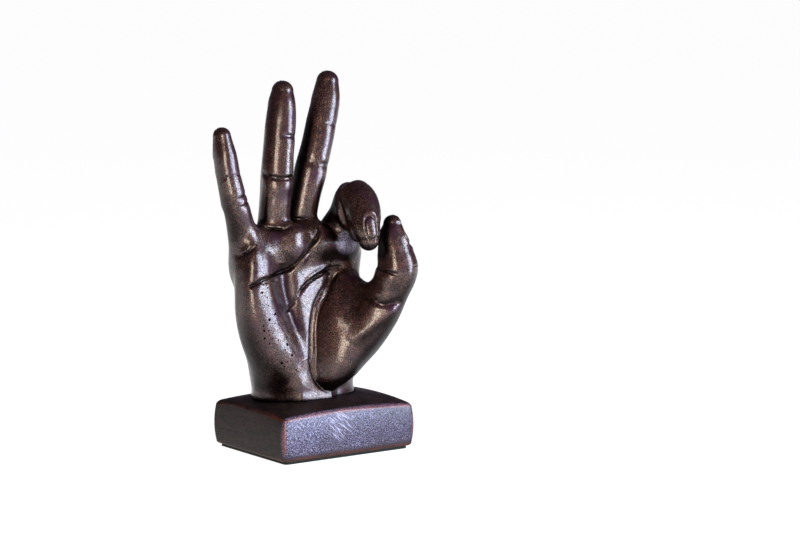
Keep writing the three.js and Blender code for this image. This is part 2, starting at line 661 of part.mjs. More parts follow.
function loft(rings) {
  const n = rings[0].length;
  const points = rings.flat();
  const faces = [];
  rings.slice(1).forEach((_, r) => {
    for (let i = 0; i < n; i++) {
      const [a, b] = [r * n + i, r * n + ((i + 1) % n)];
      faces.push([a, b, b + n], [a, b + n, a + n]);
    }
  });
  for (const [ring, turn] of [[0, 1], [rings.length - 1, 0]]) {
    const middle = points.length;
    const sum = rings[ring].reduce((total, point) => plus(total, point, 1 / n), [0, 0, 0]);
    points.push(sum);
    for (let i = 0; i < n; i++) {
      const [a, b] = [ring * n + i, ring * n + ((i + 1) % n)];
      faces.push(turn ? [b, a, middle] : [a, b, middle]);
    }
  }
  return geometryOf({ points, faces });
}

function blockGeometry() {
  const { corner, side } = outlineSteps;
  const outline = roundedRectangle(block.width, block.depth, block.cornerRadius, corner, side);
  const low = feltThickness;
  const rings = [];
  const ring = (inset, heightOf) => {
    rings.push(outline.map(([x, y]) => {
      const kx = 1 - inset / (block.width / 2);
      const ky = 1 - inset / (block.depth / 2);
      return [x * kx, y * ky, heightOf(x * kx, y * ky)];
    }));
  };
  const rimSteps = 3;
  for (let i = 0; i <= rimSteps; i++) {
    const angle = (i / rimSteps) * (Math.PI / 2);
    const inset = block.rimRadius * (1 - Math.sin(angle)) + block.sideBulge;
    ring(inset, () => low + block.rimRadius * (1 - Math.cos(angle)));
  }
  const sideSteps = 4;
  for (let i = 1; i < sideSteps; i++) {
    const s = i / sideSteps;
    const inset = block.sideBulge * (2 * s - 1) ** 2;
    ring(inset, (x, y) => low + block.rimRadius + s * (blockHeight(x, y) - low - 2 * block.rimRadius));
  }
  for (let i = 0; i <= rimSteps; i++) {
    const angle = (i / rimSteps) * (Math.PI / 2);
    const inset = block.rimRadius * (1 - Math.cos(angle)) + block.sideBulge;
    ring(inset, (x, y) => blockHeight(x, y) - block.rimRadius * (1 - Math.sin(angle)));
  }
  const crownSteps = 7;
  const edge = block.rimRadius + block.sideBulge;
  for (let i = 1; i < crownSteps; i++) {
    ring(edge + (i / crownSteps) * (block.depth / 2 - edge), (x, y) => blockHeight(x, y));
  }
  return loft(rings);
}

// Every piece is one named mesh with its own material
const ornament = new THREE.Group();

function addPiece(name, geometry, color, roughness, metalness) {
  const mesh = new THREE.Mesh(geometry, new THREE.MeshStandardMaterial({ color, roughness, metalness }));
  mesh.name = name;
  ornament.add(mesh);
}

// The hand is meshed inside this box
const handLow = [-66, -48, 18];
const handHigh = [54, 34, 203];
const rawFoot = 22; // the sculpted wrist ends here, and is cut flat above it
const closedHand = (p) => Math.max(handField(p), rawFoot - p[2]);
const handNet = thin(netOf(closedHand, handLow, handHigh, castStep), castTriangles);
const studHole = rod(foot.x, foot.y, stud.radius + fixingGap, seatHeight - 1, stud.top + boreDepthSpare);
const pinHole = rod(pin.x, foot.y, pin.radius + fixingGap, pin.bottom, pin.top + boreDepthSpare);
const handSolid = solidOf(geometryOf(handNet))
  .subtract(solidOf(slabBelow(seatHeight)))
  .subtract(solidOf(studHole))
  .subtract(solidOf(pinHole));
addPiece("hand", geometryFrom(handSolid), 0x3a2a22, 0.35, 0.9);

// The socket is cut with the wrist itself, grown by the gap
const socketTop = 34;
const grownWrist = (p) => Math.max(handField(p) - castingGap, rawFoot - p[2], p[2] - socketTop);
const socketLow = [-46, -28, 18];
const socketHigh = [42, 36, 38];
const socketNet = netOf(grownWrist, socketLow, socketHigh, socketStep);
const socket = solidOf(geometryOf(socketNet)).subtract(solidOf(slabBelow(seatHeight)));
const studBore = rod(foot.x, foot.y, plinthBoreRadius, feltThickness - 1, seatHeight + 1);
const nutRecess = rod(foot.x, foot.y, counterbore.radius, feltThickness - 1, counterbore.ceiling);
const blockSolid = solidOf(blockGeometry())
  .subtract(socket)
  .subtract(solidOf(studBore))
  .subtract(solidOf(nutRecess))
  .subtract(solidOf(pinHole));
addPiece("plinth", geometryFrom(blockSolid), 0x3c2d2b, 0.45, 0.8);

const feltMargin = 2 * (feltInset + block.sideBulge);
const feltOutline = roundedRectangle(
  block.width - feltMargin, block.depth - feltMargin, block.cornerRadius, 4, 1);
const feltShape = new THREE.Shape(feltOutline.map(([x, y]) => new THREE.Vector2(x, y)));
const felt = new THREE.ExtrudeGeometry(feltShape, { depth: feltThickness, bevelEnabled: false });
addPiece("felt_base", felt, 0x1d2a22, 0.95, 0);

const chamfer = 0.8;
const studProfile = [
  [0, stud.bottom], [stud.radius - chamfer, stud.bottom], [stud.radius, stud.bottom + chamfer],
  [stud.radius, stud.top - chamfer], [stud.radius - chamfer, stud.top], [0, stud.top],
];
const studGeometry = new THREE.LatheGeometry(studProfile.map(([r, z]) => new THREE.Vector2(r, z)), 32);
addPiece("stud", studGeometry.rotateX(Math.PI / 2).translate(foot.x, foot.y, 0), 0x9a9a9c, 0.35, 1);

const boreRadius = stud.radius + fixingGap;
function ringPlate(outline, bottom, top) {
  const shape = new THREE.Shape(outline);
  const hole = new THREE.Path();
  hole.absarc(0, 0, boreRadius, 0, 2 * Math.PI, true);
  shape.holes.push(hole);
  const extrusion = { depth: top - bottom, bevelEnabled: false, curveSegments: 32 };
  return new THREE.ExtrudeGeometry(shape, extrusion).translate(foot.x, foot.y, bottom);
}
const circle = (radius, sides, start = 0) => Array.from({ length: sides }, (_, i) => {
  const angle = start + (i / sides) * 2 * Math.PI;
  return new THREE.Vector2(radius * Math.cos(angle), radius * Math.sin(angle));
});
const washerBottom = counterbore.ceiling - washer.thickness;
const washerPlate = ringPlate(circle(washer.radius, 40), washerBottom, counterbore.ceiling);
addPiece("washer", washerPlate, 0xa8a8aa, 0.3, 1);
const nutCorner = nut.acrossFlats / 2 / Math.cos(Math.PI / 6);
const nutPlate = ringPlate(circle(nutCorner, 6), washerBottom - nut.height, washerBottom);
addPiece("hex_nut", nutPlate, 0xa8a8aa, 0.3, 1);

addPiece("locating_pin", rod(pin.x, foot.y, pin.radius, pin.bottom, pin.top, 24), 0x8d8d90, 0.3, 1);

export default ornament;
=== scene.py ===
# A cast right hand on a block, its thumb and forefinger closed in a ring: dark bronze-look resin.
# Sizes of the sculpting are in millimetres, and become metres when a mesh is made.
import math
import bpy
import numpy as np
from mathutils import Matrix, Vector


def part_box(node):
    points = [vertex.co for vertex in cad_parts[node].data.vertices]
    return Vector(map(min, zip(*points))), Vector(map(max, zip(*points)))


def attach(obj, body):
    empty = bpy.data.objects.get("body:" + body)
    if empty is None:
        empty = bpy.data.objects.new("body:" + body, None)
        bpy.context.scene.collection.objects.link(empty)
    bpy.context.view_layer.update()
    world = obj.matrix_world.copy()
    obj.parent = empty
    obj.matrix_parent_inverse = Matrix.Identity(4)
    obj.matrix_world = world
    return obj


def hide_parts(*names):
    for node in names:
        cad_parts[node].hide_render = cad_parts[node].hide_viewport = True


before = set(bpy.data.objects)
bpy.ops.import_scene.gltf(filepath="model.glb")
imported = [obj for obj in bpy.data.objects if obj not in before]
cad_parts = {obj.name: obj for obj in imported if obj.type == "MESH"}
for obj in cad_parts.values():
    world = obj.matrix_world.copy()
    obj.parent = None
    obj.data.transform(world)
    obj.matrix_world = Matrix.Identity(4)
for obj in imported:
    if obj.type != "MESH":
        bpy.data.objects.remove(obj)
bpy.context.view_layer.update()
mm = 0.001


# Camera: a long lens at the left front of the palm, a little above it
cameraSet = {
    "place": (-758.3, -1140.5, 275.2),
    "target": (36.3, -26.7, 95.0),
    "lens": 120.0, "sensor": 36,
}


def makeCamera():
    # turned so that its own -Z looks along the line from its place to the target
    camera = bpy.data.objects.new("camera", bpy.data.cameras.new("camera"))
    camera.data.lens = cameraSet["lens"]
    camera.data.sensor_width = cameraSet["sensor"]
    camera.location = Vector(cameraSet["place"]) * mm
    looking = Vector(cameraSet["target"]) * mm - camera.location
    camera.rotation_euler = looking.to_track_quat("-Z", "Y").to_euler()
    bpy.context.scene.collection.objects.link(camera)
    bpy.context.scene.camera = camera


makeCamera()
print("camera placed")


# Sculpting: each function takes points, an array of rows x, y, z, and gives every point's
# distance to a surface, below 0 inside. far is where a limb is no longer worked out.
far = 14.0


def blendOf(a, b, width):
    # the smaller distance, less a quarter of the width times the squared share in which they meet
    share = np.maximum(width - np.abs(a - b), 0) / width
    return np.minimum(a, b) - share * share * width / 4


def bell(x, width):
    # e to the minus squared ratio of x to the width
    return np.exp(-((x / width) ** 2))


def ease(start, end, x):
    # 0 before start, 1 after end, three times the square less two times the cube in between
    t = np.clip((x - start) / (end - start), 0, 1)
    return t * t * (3 - 2 * t)


def fadeOf(x, start, end, least):
    # the least share before start, then up to 1 at end
    return least + (1 - least) * ease(start, end, x)


def coneOf(points, start, end, startRadius, endRadius):
    # distance to the nearest point of a straight axis, less a radius that changes evenly along it
    start, axis = np.array(start, float), np.subtract(end, start).astype(float)
    t = np.clip((points - start) @ axis / (axis @ axis), 0, 1)
    away = points - start - t[:, None] * axis
    return np.sqrt((away * away).sum(1)) - startRadius - (endRadius - startRadius) * t


def eggOf(points, middle, radii, turn=(0, 0, 0)):
    # with k the length of the point over the radii and g that over the squared radii: k(k - 1)/g
    rx, ry, rz = np.radians(turn)
    aroundX = np.array([[1, 0, 0], [0, math.cos(rx), -math.sin(rx)], [0, math.sin(rx), math.cos(rx)]])
    aroundY = np.array([[math.cos(ry), 0, math.sin(ry)], [0, 1, 0], [-math.sin(ry), 0, math.cos(ry)]])
    aroundZ = np.array([[math.cos(rz), -math.sin(rz), 0], [math.sin(rz), math.cos(rz), 0], [0, 0, 1]])
    local = (points - np.array(middle, float)) @ (aroundZ @ aroundY @ aroundX)
    radii = np.array(radii, float)
    k = np.sqrt(((local / radii) ** 2).sum(1))
    g = np.sqrt(((local / radii**2) ** 2).sum(1))
    return k * (k - 1) / np.maximum(g, 1e-6)


def cutFlat(distance, points, towards, through, width):
    # what lies behind a plane, which is given by the direction it faces and a point on it
    beyond = (points - np.array(through)) @ np.array(towards)
    return -blendOf(-distance, -beyond, width)


def splineAt(rows, t):
    # Catmull-Rom through the rows, and its rate of change: a cubic in the part u of t past a row
    padded = np.vstack([2 * rows[0] - rows[1], rows, 2 * rows[-1] - rows[-2]])
    i = np.clip(t.astype(int), 0, len(rows) - 2)
    u = (t - i)[:, None]
    a, b, c, d = padded[i], padded[i + 1], padded[i + 2], padded[i + 3]
    k1, k2, k3 = c - a, 2 * a - 5 * b + 4 * c - d, 3 * b - a - 3 * c + d
    return (2 * b + u * (k1 + u * (k2 + u * k3))) / 2, (k1 + u * (2 * k2 + 3 * u * k3)) / 2


def nearestOn(points, rows):
    # the nearest place on the chords between the rows, then two Newton steps along the spline
    least, t = np.full(len(points), np.inf), np.zeros(len(points))
    line = rows[:, : points.shape[1]]
    for i, chord in enumerate(np.diff(line, axis=0)):
        s = np.clip((points - line[i]) @ chord / (chord @ chord), 0, 1)
        away = points - line[i] - s[:, None] * chord
        square = (away * away).sum(1)
        closer = square < least
        least[closer], t[closer] = square[closer], i + s[closer]
    for _ in range(2):
        place, rate = splineAt(line, t)
        step = ((points - place) * rate).sum(1) / np.maximum((rate * rate).sum(1), 1e-6)
        t = np.clip(t + step, 0, len(line) - 1)
    return t


# Where each detail starts and where it is full, as an angle round the limb: 0 is the middle of the
# palm side and pi the middle of the back
limbZones = {"squared": (2.4, 1.4), "creases": (1.5, 0.8), "pads": (1.7, 0.3), "knuckles": (1.7, 2.4)}
# Round a nail, whose edge is at 1: a groove and raised skin, each with its height as a share of
# the nail's, its place and its half width; and the plate's height, where it starts and is full
nailParts = {"groove": (1.4, 1.04, 0.1), "skin": (0.8, 1.3, 0.14), "plate": (0.5, 1, 0.75)}


def limbOf(points, limb):
    # distance to a spline less its radius there. The section is squared off on the palm side, less
    # in the last rows: the depth and the sideways offset are added in a power above 2. Then come
    # grooves across the palm side, each with a raised lip below it, swellings between them, and
    # wrinkled knuckles and a nail on the back
    rows = np.array(limb["rows"], float)
    low = (rows[:, :3] - rows[:, 3:]).min(0) - far
    high = (rows[:, :3] + rows[:, 3:]).max(0) + far
    near = np.nonzero(((points > low) & (points < high)).all(1))[0]
    distance = np.full(len(points), far)
    if not len(near):
        return distance
    p = points[near]
    t = nearestOn(p, rows)
    place, rate = splineAt(rows, t)
    away = p - place[:, :3]
    along = rate[:, :3] / np.linalg.norm(rate[:, :3], axis=1, keepdims=True)
    palmward = np.array(limb["palmTowards"], float) - place[:, :3]
    palmward -= (palmward * along).sum(1, keepdims=True) * along
    palmward /= np.maximum(np.linalg.norm(palmward, axis=1, keepdims=True), 1e-6)
    forward = (away * palmward).sum(1)
    sideways = (away * np.cross(along, palmward)).sum(1)
    beyond = (away * along).sum(1)
    angle = np.arctan2(np.abs(sideways), forward)  # 0 on the palm side, pi on the back
    squared = ease(*limbZones["squared"], angle) * ease(0, limb.get("roundRows", 1.5), len(rows) - 1 - t)
    power = 2 + (limb.get("square", 2) - 2) * squared
    across = np.abs(forward / limb.get("depth", 1)) ** power + np.abs(sideways) ** power
    off = np.hypot(np.maximum(across, 1e-9) ** (1 / power), beyond)
    share = np.clip(off / place[:, 3], 0, 1)  # fades the detail out towards the bone
    d = off - place[:, 3]
    for at, deep, width, lip, bow, side in limb.get("creases", ()):
        x = t - at - bow * angle**2
        here = ease(*limbZones["creases"], angle)
        if side:
            here *= ease(-0.4, 0.4, side * sideways / place[:, 3])
        d += here * share * (deep * bell(x, width) - lip * bell(x + 4 * width, 3 * width))
    for at, height, width in limb.get("pads", ()):
        d -= height * bell(t - at, width) * ease(*limbZones["pads"], angle) * share
    for at, height, width in limb.get("knuckles", ()):
        wrinkles = 1 - 0.45 * np.cos((t - at) / width * 4 * np.pi)  # two in each half width
        d -= height * bell(t - at, width) * wrinkles * ease(*limbZones["knuckles"], angle) * share
    nail = limb.get("nail")
    if nail:
        edge = np.cbrt(np.abs((t - nail["at"]) / nail["half"]) ** 3
                       + np.abs((np.pi - angle) / nail["spread"]) ** 3)
        groove, skin, plate = nailParts["groove"], nailParts["skin"], nailParts["plate"]
        fold = groove[0] * bell(edge - groove[1], groove[2]) - skin[0] * bell(edge - skin[1], skin[2])
        d += nail["height"] * share * (fold - plate[0] * ease(plate[1], plate[2], edge))
    distance[near] = d
    return distance


# Fingers: rows of x, y, z, radius from the palm to the tip. The section's depth is a share of its
# width, square is the power of its palm side, and roundRows says over how many of the last rows
# that side turns round. Creases: place along the rows, depth, half width, height of the lip
# below, bow and side (1 towards the thumb, 0 both). Pads and knuckles: place, height, half width
handSet = {
    "little": {
        "rows": [(-36, 5, 96, 9.3), (-40.4, 3, 111, 7.8), (-45.4, 0.5, 125, 6.6), (-48.2, 0, 133, 6.5),
                 (-50.7, 0.3, 144, 6.1), (-52.1, 1.5, 155, 5.8), (-52.9, 2.5, 164.9, 4.5)],
        "palmTowards": (-48, -300, 140), "depth": 0.98, "square": 2.3,
        "creases": [(2.55, 0.55, 0.09, 0.2, 0.06, 1), (3.05, 0.55, 0.09, 0.2, 0.06, 1),
                    (4.1, 0.3, 0.06, 0.05, -0.05, 0), (0.8, 0.7, 0.07, 0.2, 0, 1)],
        "pads": [(3.35, 0.25, 0.3), (2, 0.3, 0.45), (5, 0.3, 0.5)],
        "knuckles": [(2.8, 0.4, 0.3), (4.3, 0.25, 0.22)],
        "nail": {"at": 5.6, "half": 0.6, "spread": 0.9, "height": 0.4},
    },
    "ring": {
        "rows": [(-20.5, 7, 100, 10.5), (-20.9, 5, 117, 8.4), (-20.9, 3.6, 130, 7.9),
                 (-19.9, 3, 144, 8.2), (-18.5, 3.8, 156, 7.8), (-16.2, 5, 170, 7.7),
                 (-14.6, 6, 180, 6.8), (-13.8, 6.5, 185.7, 5.6)],
        "palmTowards": (-110, -300, 140), "depth": 0.98, "square": 2.4,
        "creases": [(2.86, 0.9, 0.08, 0.45, 0.08, 0), (4.5, 0.6, 0.07, 0.3, 0.03, 1),
                    (1, 0.5, 0.07, 0.1, 0, 0)],
        "pads": [(2, 0.2, 0.5), (4, 0.2, 0.4), (6, 0.2, 0.6)],
        "knuckles": [(2.8, 0.5, 0.3), (4.7, 0.3, 0.22)],
        "nail": {"at": 6.4, "half": 0.75, "spread": 0.9, "height": 0.45},
    },
    "middle": {
        "rows": [(-5, 8, 103, 10.8), (-4, 6, 118, 8.4), (-1.8, 5, 131, 7.9), (2.2, 5, 145, 8.2),
                 (6.2, 5.8, 157, 7.8), (10.8, 7.5, 170, 7.7), (14.5, 9, 181, 7.1),
                 (16.3, 10, 189.5, 5.8)],
        "palmTowards": (-90, -300, 140), "depth": 0.98, "square": 2.4,
        "creases": [(3.2, 0.8, 0.14, 0.3, 0.07, 0), (4.85, 0.35, 0.12, 0.2, 0.04, 1),
                    (1.15, 0.5, 0.08, 0.1, 0, 0)],
        "pads": [(2.1, 0.2, 0.45), (4, 0.2, 0.4), (6, 0.2, 0.6)],
        "knuckles": [(3, 0.5, 0.3), (4.9, 0.3, 0.22)],
        "nail": {"at": 6.4, "half": 0.75, "spread": 0.9, "height": 0.45},
    },
    "fore": {
        "rows": [(13, 6, 96, 12), (14.2, 2, 109, 10), (17.2, -4.5, 120.5, 9), (17.6, -11, 130.7, 9.1),
                 (17.4, -18, 129.6, 8.8), (16, -24, 124, 8.3), (14.3, -27.4, 118, 7.4),
                 (14, -29.6, 113, 6.5), (14, -30.4, 110.4, 5.2)],
        "palmTowards": (18, -11, 112), "square": 2.3,
        "creases": [(1.4, 0.6, 0.08, 0.2, 0, 0)],
        "nail": {"at": 6.8, "half": 1.05, "spread": 0.45, "height": 0.35},
    },
    "thumb": {
        "rows": [(10, -9, 50, 14), (18, -17, 61, 13), (24.6, -23.5, 72, 11.2), (28.9, -27.8, 83, 10),
                 (32.2, -30.5, 94, 10.3), (31.6, -29.5, 103, 9), (30.6, -28, 112, 6.8),
                 (31.1, -27.2, 117.5, 4.8)],
        "palmTowards": (1.5, -23, 108), "square": 2.8,
        "creases": [(3.9, 0.9, 0.09, 0.3, 0, 0)], "knuckles": [(4.2, 0.2, 0.25)],
        "nail": {"at": 6.2, "half": 0.9, "spread": 0.85, "height": 0.5},
    },
    "outerRidge": {  # the fleshy ridge from the little finger down to the wrist
        "rows": [(-36.5, 1.8, 112, 6.8), (-38.2, -3.2, 100, 8), (-39.2, -4.2, 88, 8.6),
                 (-37.4, -3.7, 76, 10.5), (-33, -3, 64, 12), (-26.6, -3, 52, 13),
                 (-19.8, -0.6, 42, 13.2)],
        "palmTowards": (-36, -70, 70), "depth": 0.95, "square": 3, "roundRows": 4.5,
    },
    # rods: start, end and both radii; eggs: middle and radii
    "bones": [
        ((-17, 6, 38), (-36, 5, 98), 13, 9.2), ((-9, 8, 40), (-21, 7, 104), 15, 11.5),
        ((0, 8, 40), (-4, 8, 107), 15, 12), ((8, 6, 42), (18.8, 5, 101), 15, 12.5),
    ],
    "wristRods": [((-13.6, 6, 14), (-13.4, 6, 40), 15, 14.4), ((9, 6, 14), (9, 6, 40), 15.5, 15.5)],
    "palmFlesh": [((-26, 2.5, 98), (-23, 2, 60), 8.5, 9.5)],
    # the flat of the palm: a rod, cut off by a plane that has a direction and a point
    "palmFlat": (((-6.5, 0, 104), (-8, 0, 56), 11, 11.5), (0.035, -0.993, 0.115), (-12, -8.8, 76)),
    "rootPads": [  # below the fingers on the palm side, then the knuckles on the back
        ((-16.5, -4, 108.5), (10.5, 6.5, 10.5)), ((0.5, -2.2, 109), (8.5, 8.2, 10)),
        ((-28, 0.5, 107), (8, 8, 10)), ((14.5, -5.5, 107.5), (11, 5.5, 8.5)),
        ((-36.5, 11.5, 104), (6, 4.5, 7)), ((-21, 13.5, 108), (6.5, 6, 8)),
        ((-4.5, 15, 110), (7, 6.5, 8.5)), ((14.5, 10, 104), (7.5, 8.5, 8.5)),
    ],
    "thumbBall": ((8, -8, 57), (16, 17, 27), (-12, 24, 0)),  # middle, radii and turn
    "thumbBallTop": ((16, -4, 86), (8, -8, 66), 8, 12),
    "thumbFlat": ((-0.78, -0.62, 0.1), (-5.9, -15.4, 57)),  # its flatter side, cut off in the same way
    "thumbFlatTop": 80,
    "web": ((20, -4, 78), (26, -17, 76.5), 9, 8.5),  # of skin between the palm and the thumb
    "foreFlesh": ((15, -12, 124), (15.5, -20, 114.5), 6.5, 6.2),  # inside the bent forefinger
    "foreFold": ((6.9, -12.5, 133), (8, -15.2, 118), 1.2, 3.4),  # cut out beside that
    "wristLip": {"height": 1.3, "from": 27.5, "reach": 3.4},  # spreads on to the block
    "fillet": {  # how wide each joint is blended
        "bones": 7, "wrist": 14, "wristToPalm": 10, "ridge": 10, "pads": 4, "flesh": 5, "flat": 2,
        "palmFlat": 9, "thumbBall": 9, "thumb": 4, "thumbFlat": 7, "thumbToPalm": 1, "web": 7,
        "fingers": 2, "fingersToPalm": 4, "foreFlesh": 3, "foreFold": 1.2, "foreToPalm": 2.5,
    },
    # palm lines: points x, z seen square on to the palm, depth (below 0 is a ridge), half width
    # and sharpness
    "palmLines": [
        ([(-45.8, 88.4), (-43.4, 89.8), (-39.6, 91.5), (-34, 92.6), (-28.5, 93.6), (-20.6, 95),
          (-17, 97.2), (-11.9, 102.1), (-7.7, 106.2), (-2.9, 111.9), (-0.5, 117)], 1.6, 0.9, 1.5),
        ([(-40, 90), (-33, 91), (-27, 90.8)], 0.7, 0.6, 1.5),
        ([(-15.4, 81.8), (-11.3, 86), (-7.4, 88.8), (1.6, 92.3), (8.2, 94.3), (14, 94.6)], 1.4, 0.8, 1.5),
        ([(-11, 88.5), (-6, 91.8), (1.6, 95), (7, 96.8)], -0.5, 1.2, 2),
        ([(-16, 80.4), (-19.2, 76.5), (-23.5, 72.5)], 0.6, 0.9, 1.5),
        ([(-22, 99), (-23, 90.5), (-21, 80), (-18.5, 69.4), (-15.5, 59.8), (-13, 50)], 0.8, 4, 2),
        ([(7.3, 92.1), (4.2, 87.5), (-0.4, 82.8), (-4.7, 77), (-7.1, 70.4), (-8.6, 63.2), (-9.6, 56.2),
          (-10.4, 49.2), (-9.8, 43.1), (-7.5, 37.2), (-3.8, 34), (1, 32.4)], 1.1, 1, 1.5),
        ([(-24, 27), (-13, 27), (-3, 27), (7, 27)], -3.4, 12, 2),
    ],
    "baseLines": [  # at the roots of the fingers and of the thumb
        ([(-31, 117.5), (-28, 116.6), (-24.9, 116), (-21.3, 116.2), (-16, 118)], 1.1, 0.9, 1.5),
        ([(-14, 121), (-8, 120), (-2, 121.5)], 0.7, 0.9, 1.5),
        ([(-47, 103), (-43, 106.6), (-40, 109.3)], 1.1, 0.8, 1.5),
        ([(6, 58), (14, 65), (21, 71), (27, 76)], -0.9, 3.2, 2),
    ],
    "thumbFoot": ([(17.2, 80.5), (17.2, 78.8), (19.6, 77.4), (23.1, 77.2), (28, 78.4)], 1.3, 1.6, 1.5),
    # the lines are between two heights, full at the front and gone at the back
    "lineZone": {"low": 28, "high": 125, "full": -2, "gone": 4, "endFade": 0.6},
    "seat": 26.5,  # height of the socket's floor, where the wrist stands
    "studBore": (-3, 6, 4.3, 52.0),  # x, y, radius and top
    "pinBore": (-17, 6, 2.8, 34.5),
    "cell": 0.8,  # size of the mesh's cells
}


def grooveOf(flat, line):
    # the line's depth times e to the minus (offset over half width) to a power; and where along it
    rows, deep, width, power = np.array(line[0], float), *line[1:]
    t = nearestOn(flat, rows)
    off = np.linalg.norm(flat - splineAt(rows, t)[0], axis=1)
    return deep * np.exp(-((off / width) ** power)), np.minimum(t, len(rows) - 1 - t)


def linesOf(points, lines):
    # grooves on the palm side, fading at their ends and towards the back of the hand
    grooves = np.zeros(len(points))
    zone = handSet["lineZone"]
    y, z = points[:, 1], points[:, 2]
    near = np.nonzero((y < zone["gone"]) & (z > zone["low"]) & (z < zone["high"]))[0]
    flat = points[near][:, [0, 2]]
    fade = np.clip((zone["gone"] - y[near]) / (zone["gone"] - zone["full"]), 0, 1)
    for line in lines:
        deep, fromEnd = grooveOf(flat, line)
        grooves[near] += deep * np.clip(fromEnd / zone["endFade"], 0, 1) ** 0.7 * fade
    return grooves


def palmOf(points):
    # bones, wrist, outer ridge, pads and flesh, then the flat, blended one after another; the
    # grooves of the palm lines are added to the distance
    fillet = handSet["fillet"]
    little, ring, middle, fore = (coneOf(points, *bone) for bone in handSet["bones"])
    wristLeft, wristRight = (coneOf(points, *rod) for rod in handSet["wristRods"])
    palm = blendOf(blendOf(little, ring, fillet["bones"]), blendOf(middle, fore, fillet["bones"]),
                   fillet["bones"])
    palm = blendOf(palm, blendOf(wristLeft, wristRight, fillet["wrist"]), fillet["wristToPalm"])
    palm = blendOf(palm, limbOf(points, handSet["outerRidge"]), fillet["ridge"])
    for egg in handSet["rootPads"]:
        palm = blendOf(palm, eggOf(points, *egg), fillet["pads"])
    for rod in handSet["palmFlesh"]:
        palm = blendOf(palm, coneOf(points, *rod), fillet["flesh"])
    rod, towards, through = handSet["palmFlat"]
    flat = cutFlat(coneOf(points, *rod), points, towards, through, fillet["flat"])
    palm = blendOf(palm, flat, fillet["palmFlat"])
    return palm + linesOf(points, handSet["palmLines"])


def thumbOf(points):
    # the ball blended with the thumb, its side cut flat lower down, and a groove at its foot
    fillet = handSet["fillet"]
    ball = blendOf(eggOf(points, *handSet["thumbBall"]), coneOf(points, *handSet["thumbBallTop"]),
                   fillet["thumbBall"])
    thumb = blendOf(ball, limbOf(points, handSet["thumb"]), fillet["thumb"])
    flattened = cutFlat(thumb, points, *handSet["thumbFlat"], fillet["thumbFlat"])
    thumb = np.where(points[:, 2] < handSet["thumbFlatTop"], flattened, thumb)
    return thumb + grooveOf(points[:, [0, 2]], handSet["thumbFoot"])[0] * (points[:, 1] < 0)


def handOf(points):
    # palm, thumb, web and fingers blended, and a bell-shaped lip at the wrist's foot
    fillet = handSet["fillet"]
    hand = blendOf(palmOf(points), thumbOf(points), fillet["thumbToPalm"])
    hand = blendOf(hand, coneOf(points, *handSet["web"]), fillet["web"])
    little, ring, middle = (limbOf(points, handSet[name]) for name in ("little", "ring", "middle"))
    straight = blendOf(blendOf(little, middle, fillet["fingers"]), ring, fillet["fingers"])
    hand = blendOf(hand, straight, fillet["fingersToPalm"])
    fore = limbOf(points, handSet["fore"])
    fore = blendOf(fore, coneOf(points, *handSet["foreFlesh"]), fillet["foreFlesh"])
    fore = -blendOf(-fore, coneOf(points, *handSet["foreFold"]), fillet["foreFold"])
    hand = blendOf(hand, fore, fillet["foreToPalm"]) + linesOf(points, handSet["baseLines"])
    lip = handSet["wristLip"]
    return hand - lip["height"] * bell(np.maximum(points[:, 2] - lip["from"], 0), lip["reach"])


def castingOf(points):
    # the hand, cut flat at its seat and bored for the stud and the pin
    casting = np.maximum(handOf(points), handSet["seat"] - points[:, 2])
    for x, y, radius, top in (handSet["studBore"], handSet["pinBore"]):
        bore = np.maximum(np.hypot(points[:, 0] - x, points[:, 1] - y) - radius, points[:, 2] - top)
        casting = np.maximum(casting, -bore)
    return casting


def sampledOn(field, low, high, step):
    # the field on a grid: one value for each block of points, and every one near the surface
    block = 5
    atOnce = 60000
    counts = np.ceil((high - low) / (block * step)).astype(int)
    places = [low[a] + (np.arange(counts[a] * block)) * step for a in range(3)]
    middles = [places[a][block // 2 :: block] for a in range(3)]
    rough = field(np.stack(np.meshgrid(*middles, indexing="ij"), -1).reshape(-1, 3)).reshape(counts)
    values = rough
    for a in range(3):
        values = np.repeat(values, block, a)
    close = np.argwhere(np.abs(values) < 1.2 * block * step)
    for part in np.array_split(close, max(1, len(close) // atOnce)):
        values[tuple(part.T)] = field(low + part * step)
    return values


def cornerOf(a, b, i, j):
    # every grid face across the axes a and b, by its corner that lies i along a and j along b
    cut = [slice(None)] * 3
    cut[a] = slice(1, None) if i else slice(None, -1)
    cut[b] = slice(1, None) if j else slice(None, -1)
    return tuple(cut)


def joinedUp(values, step):
    # where four neighbours on a grid face are inside and outside crosswise, all four become inside
    for _ in range(4):
        inside = values < 0
        changed = False
        for a, b in ((0, 1), (1, 2), (2, 0)):
            corners = [cornerOf(a, b, i, j) for i, j in ((0, 0), (1, 1), (0, 1), (1, 0))]
            first, opposite, left, right = (inside[corner] for corner in corners)
            cross = (first & opposite & ~left & ~right) | (left & right & ~first & ~opposite)
            if cross.any():
                changed = True
                for corner in corners:
                    part = values[corner]
                    part[cross & (part >= 0)] = -0.1 * step
        if not changed:
            break
    return values


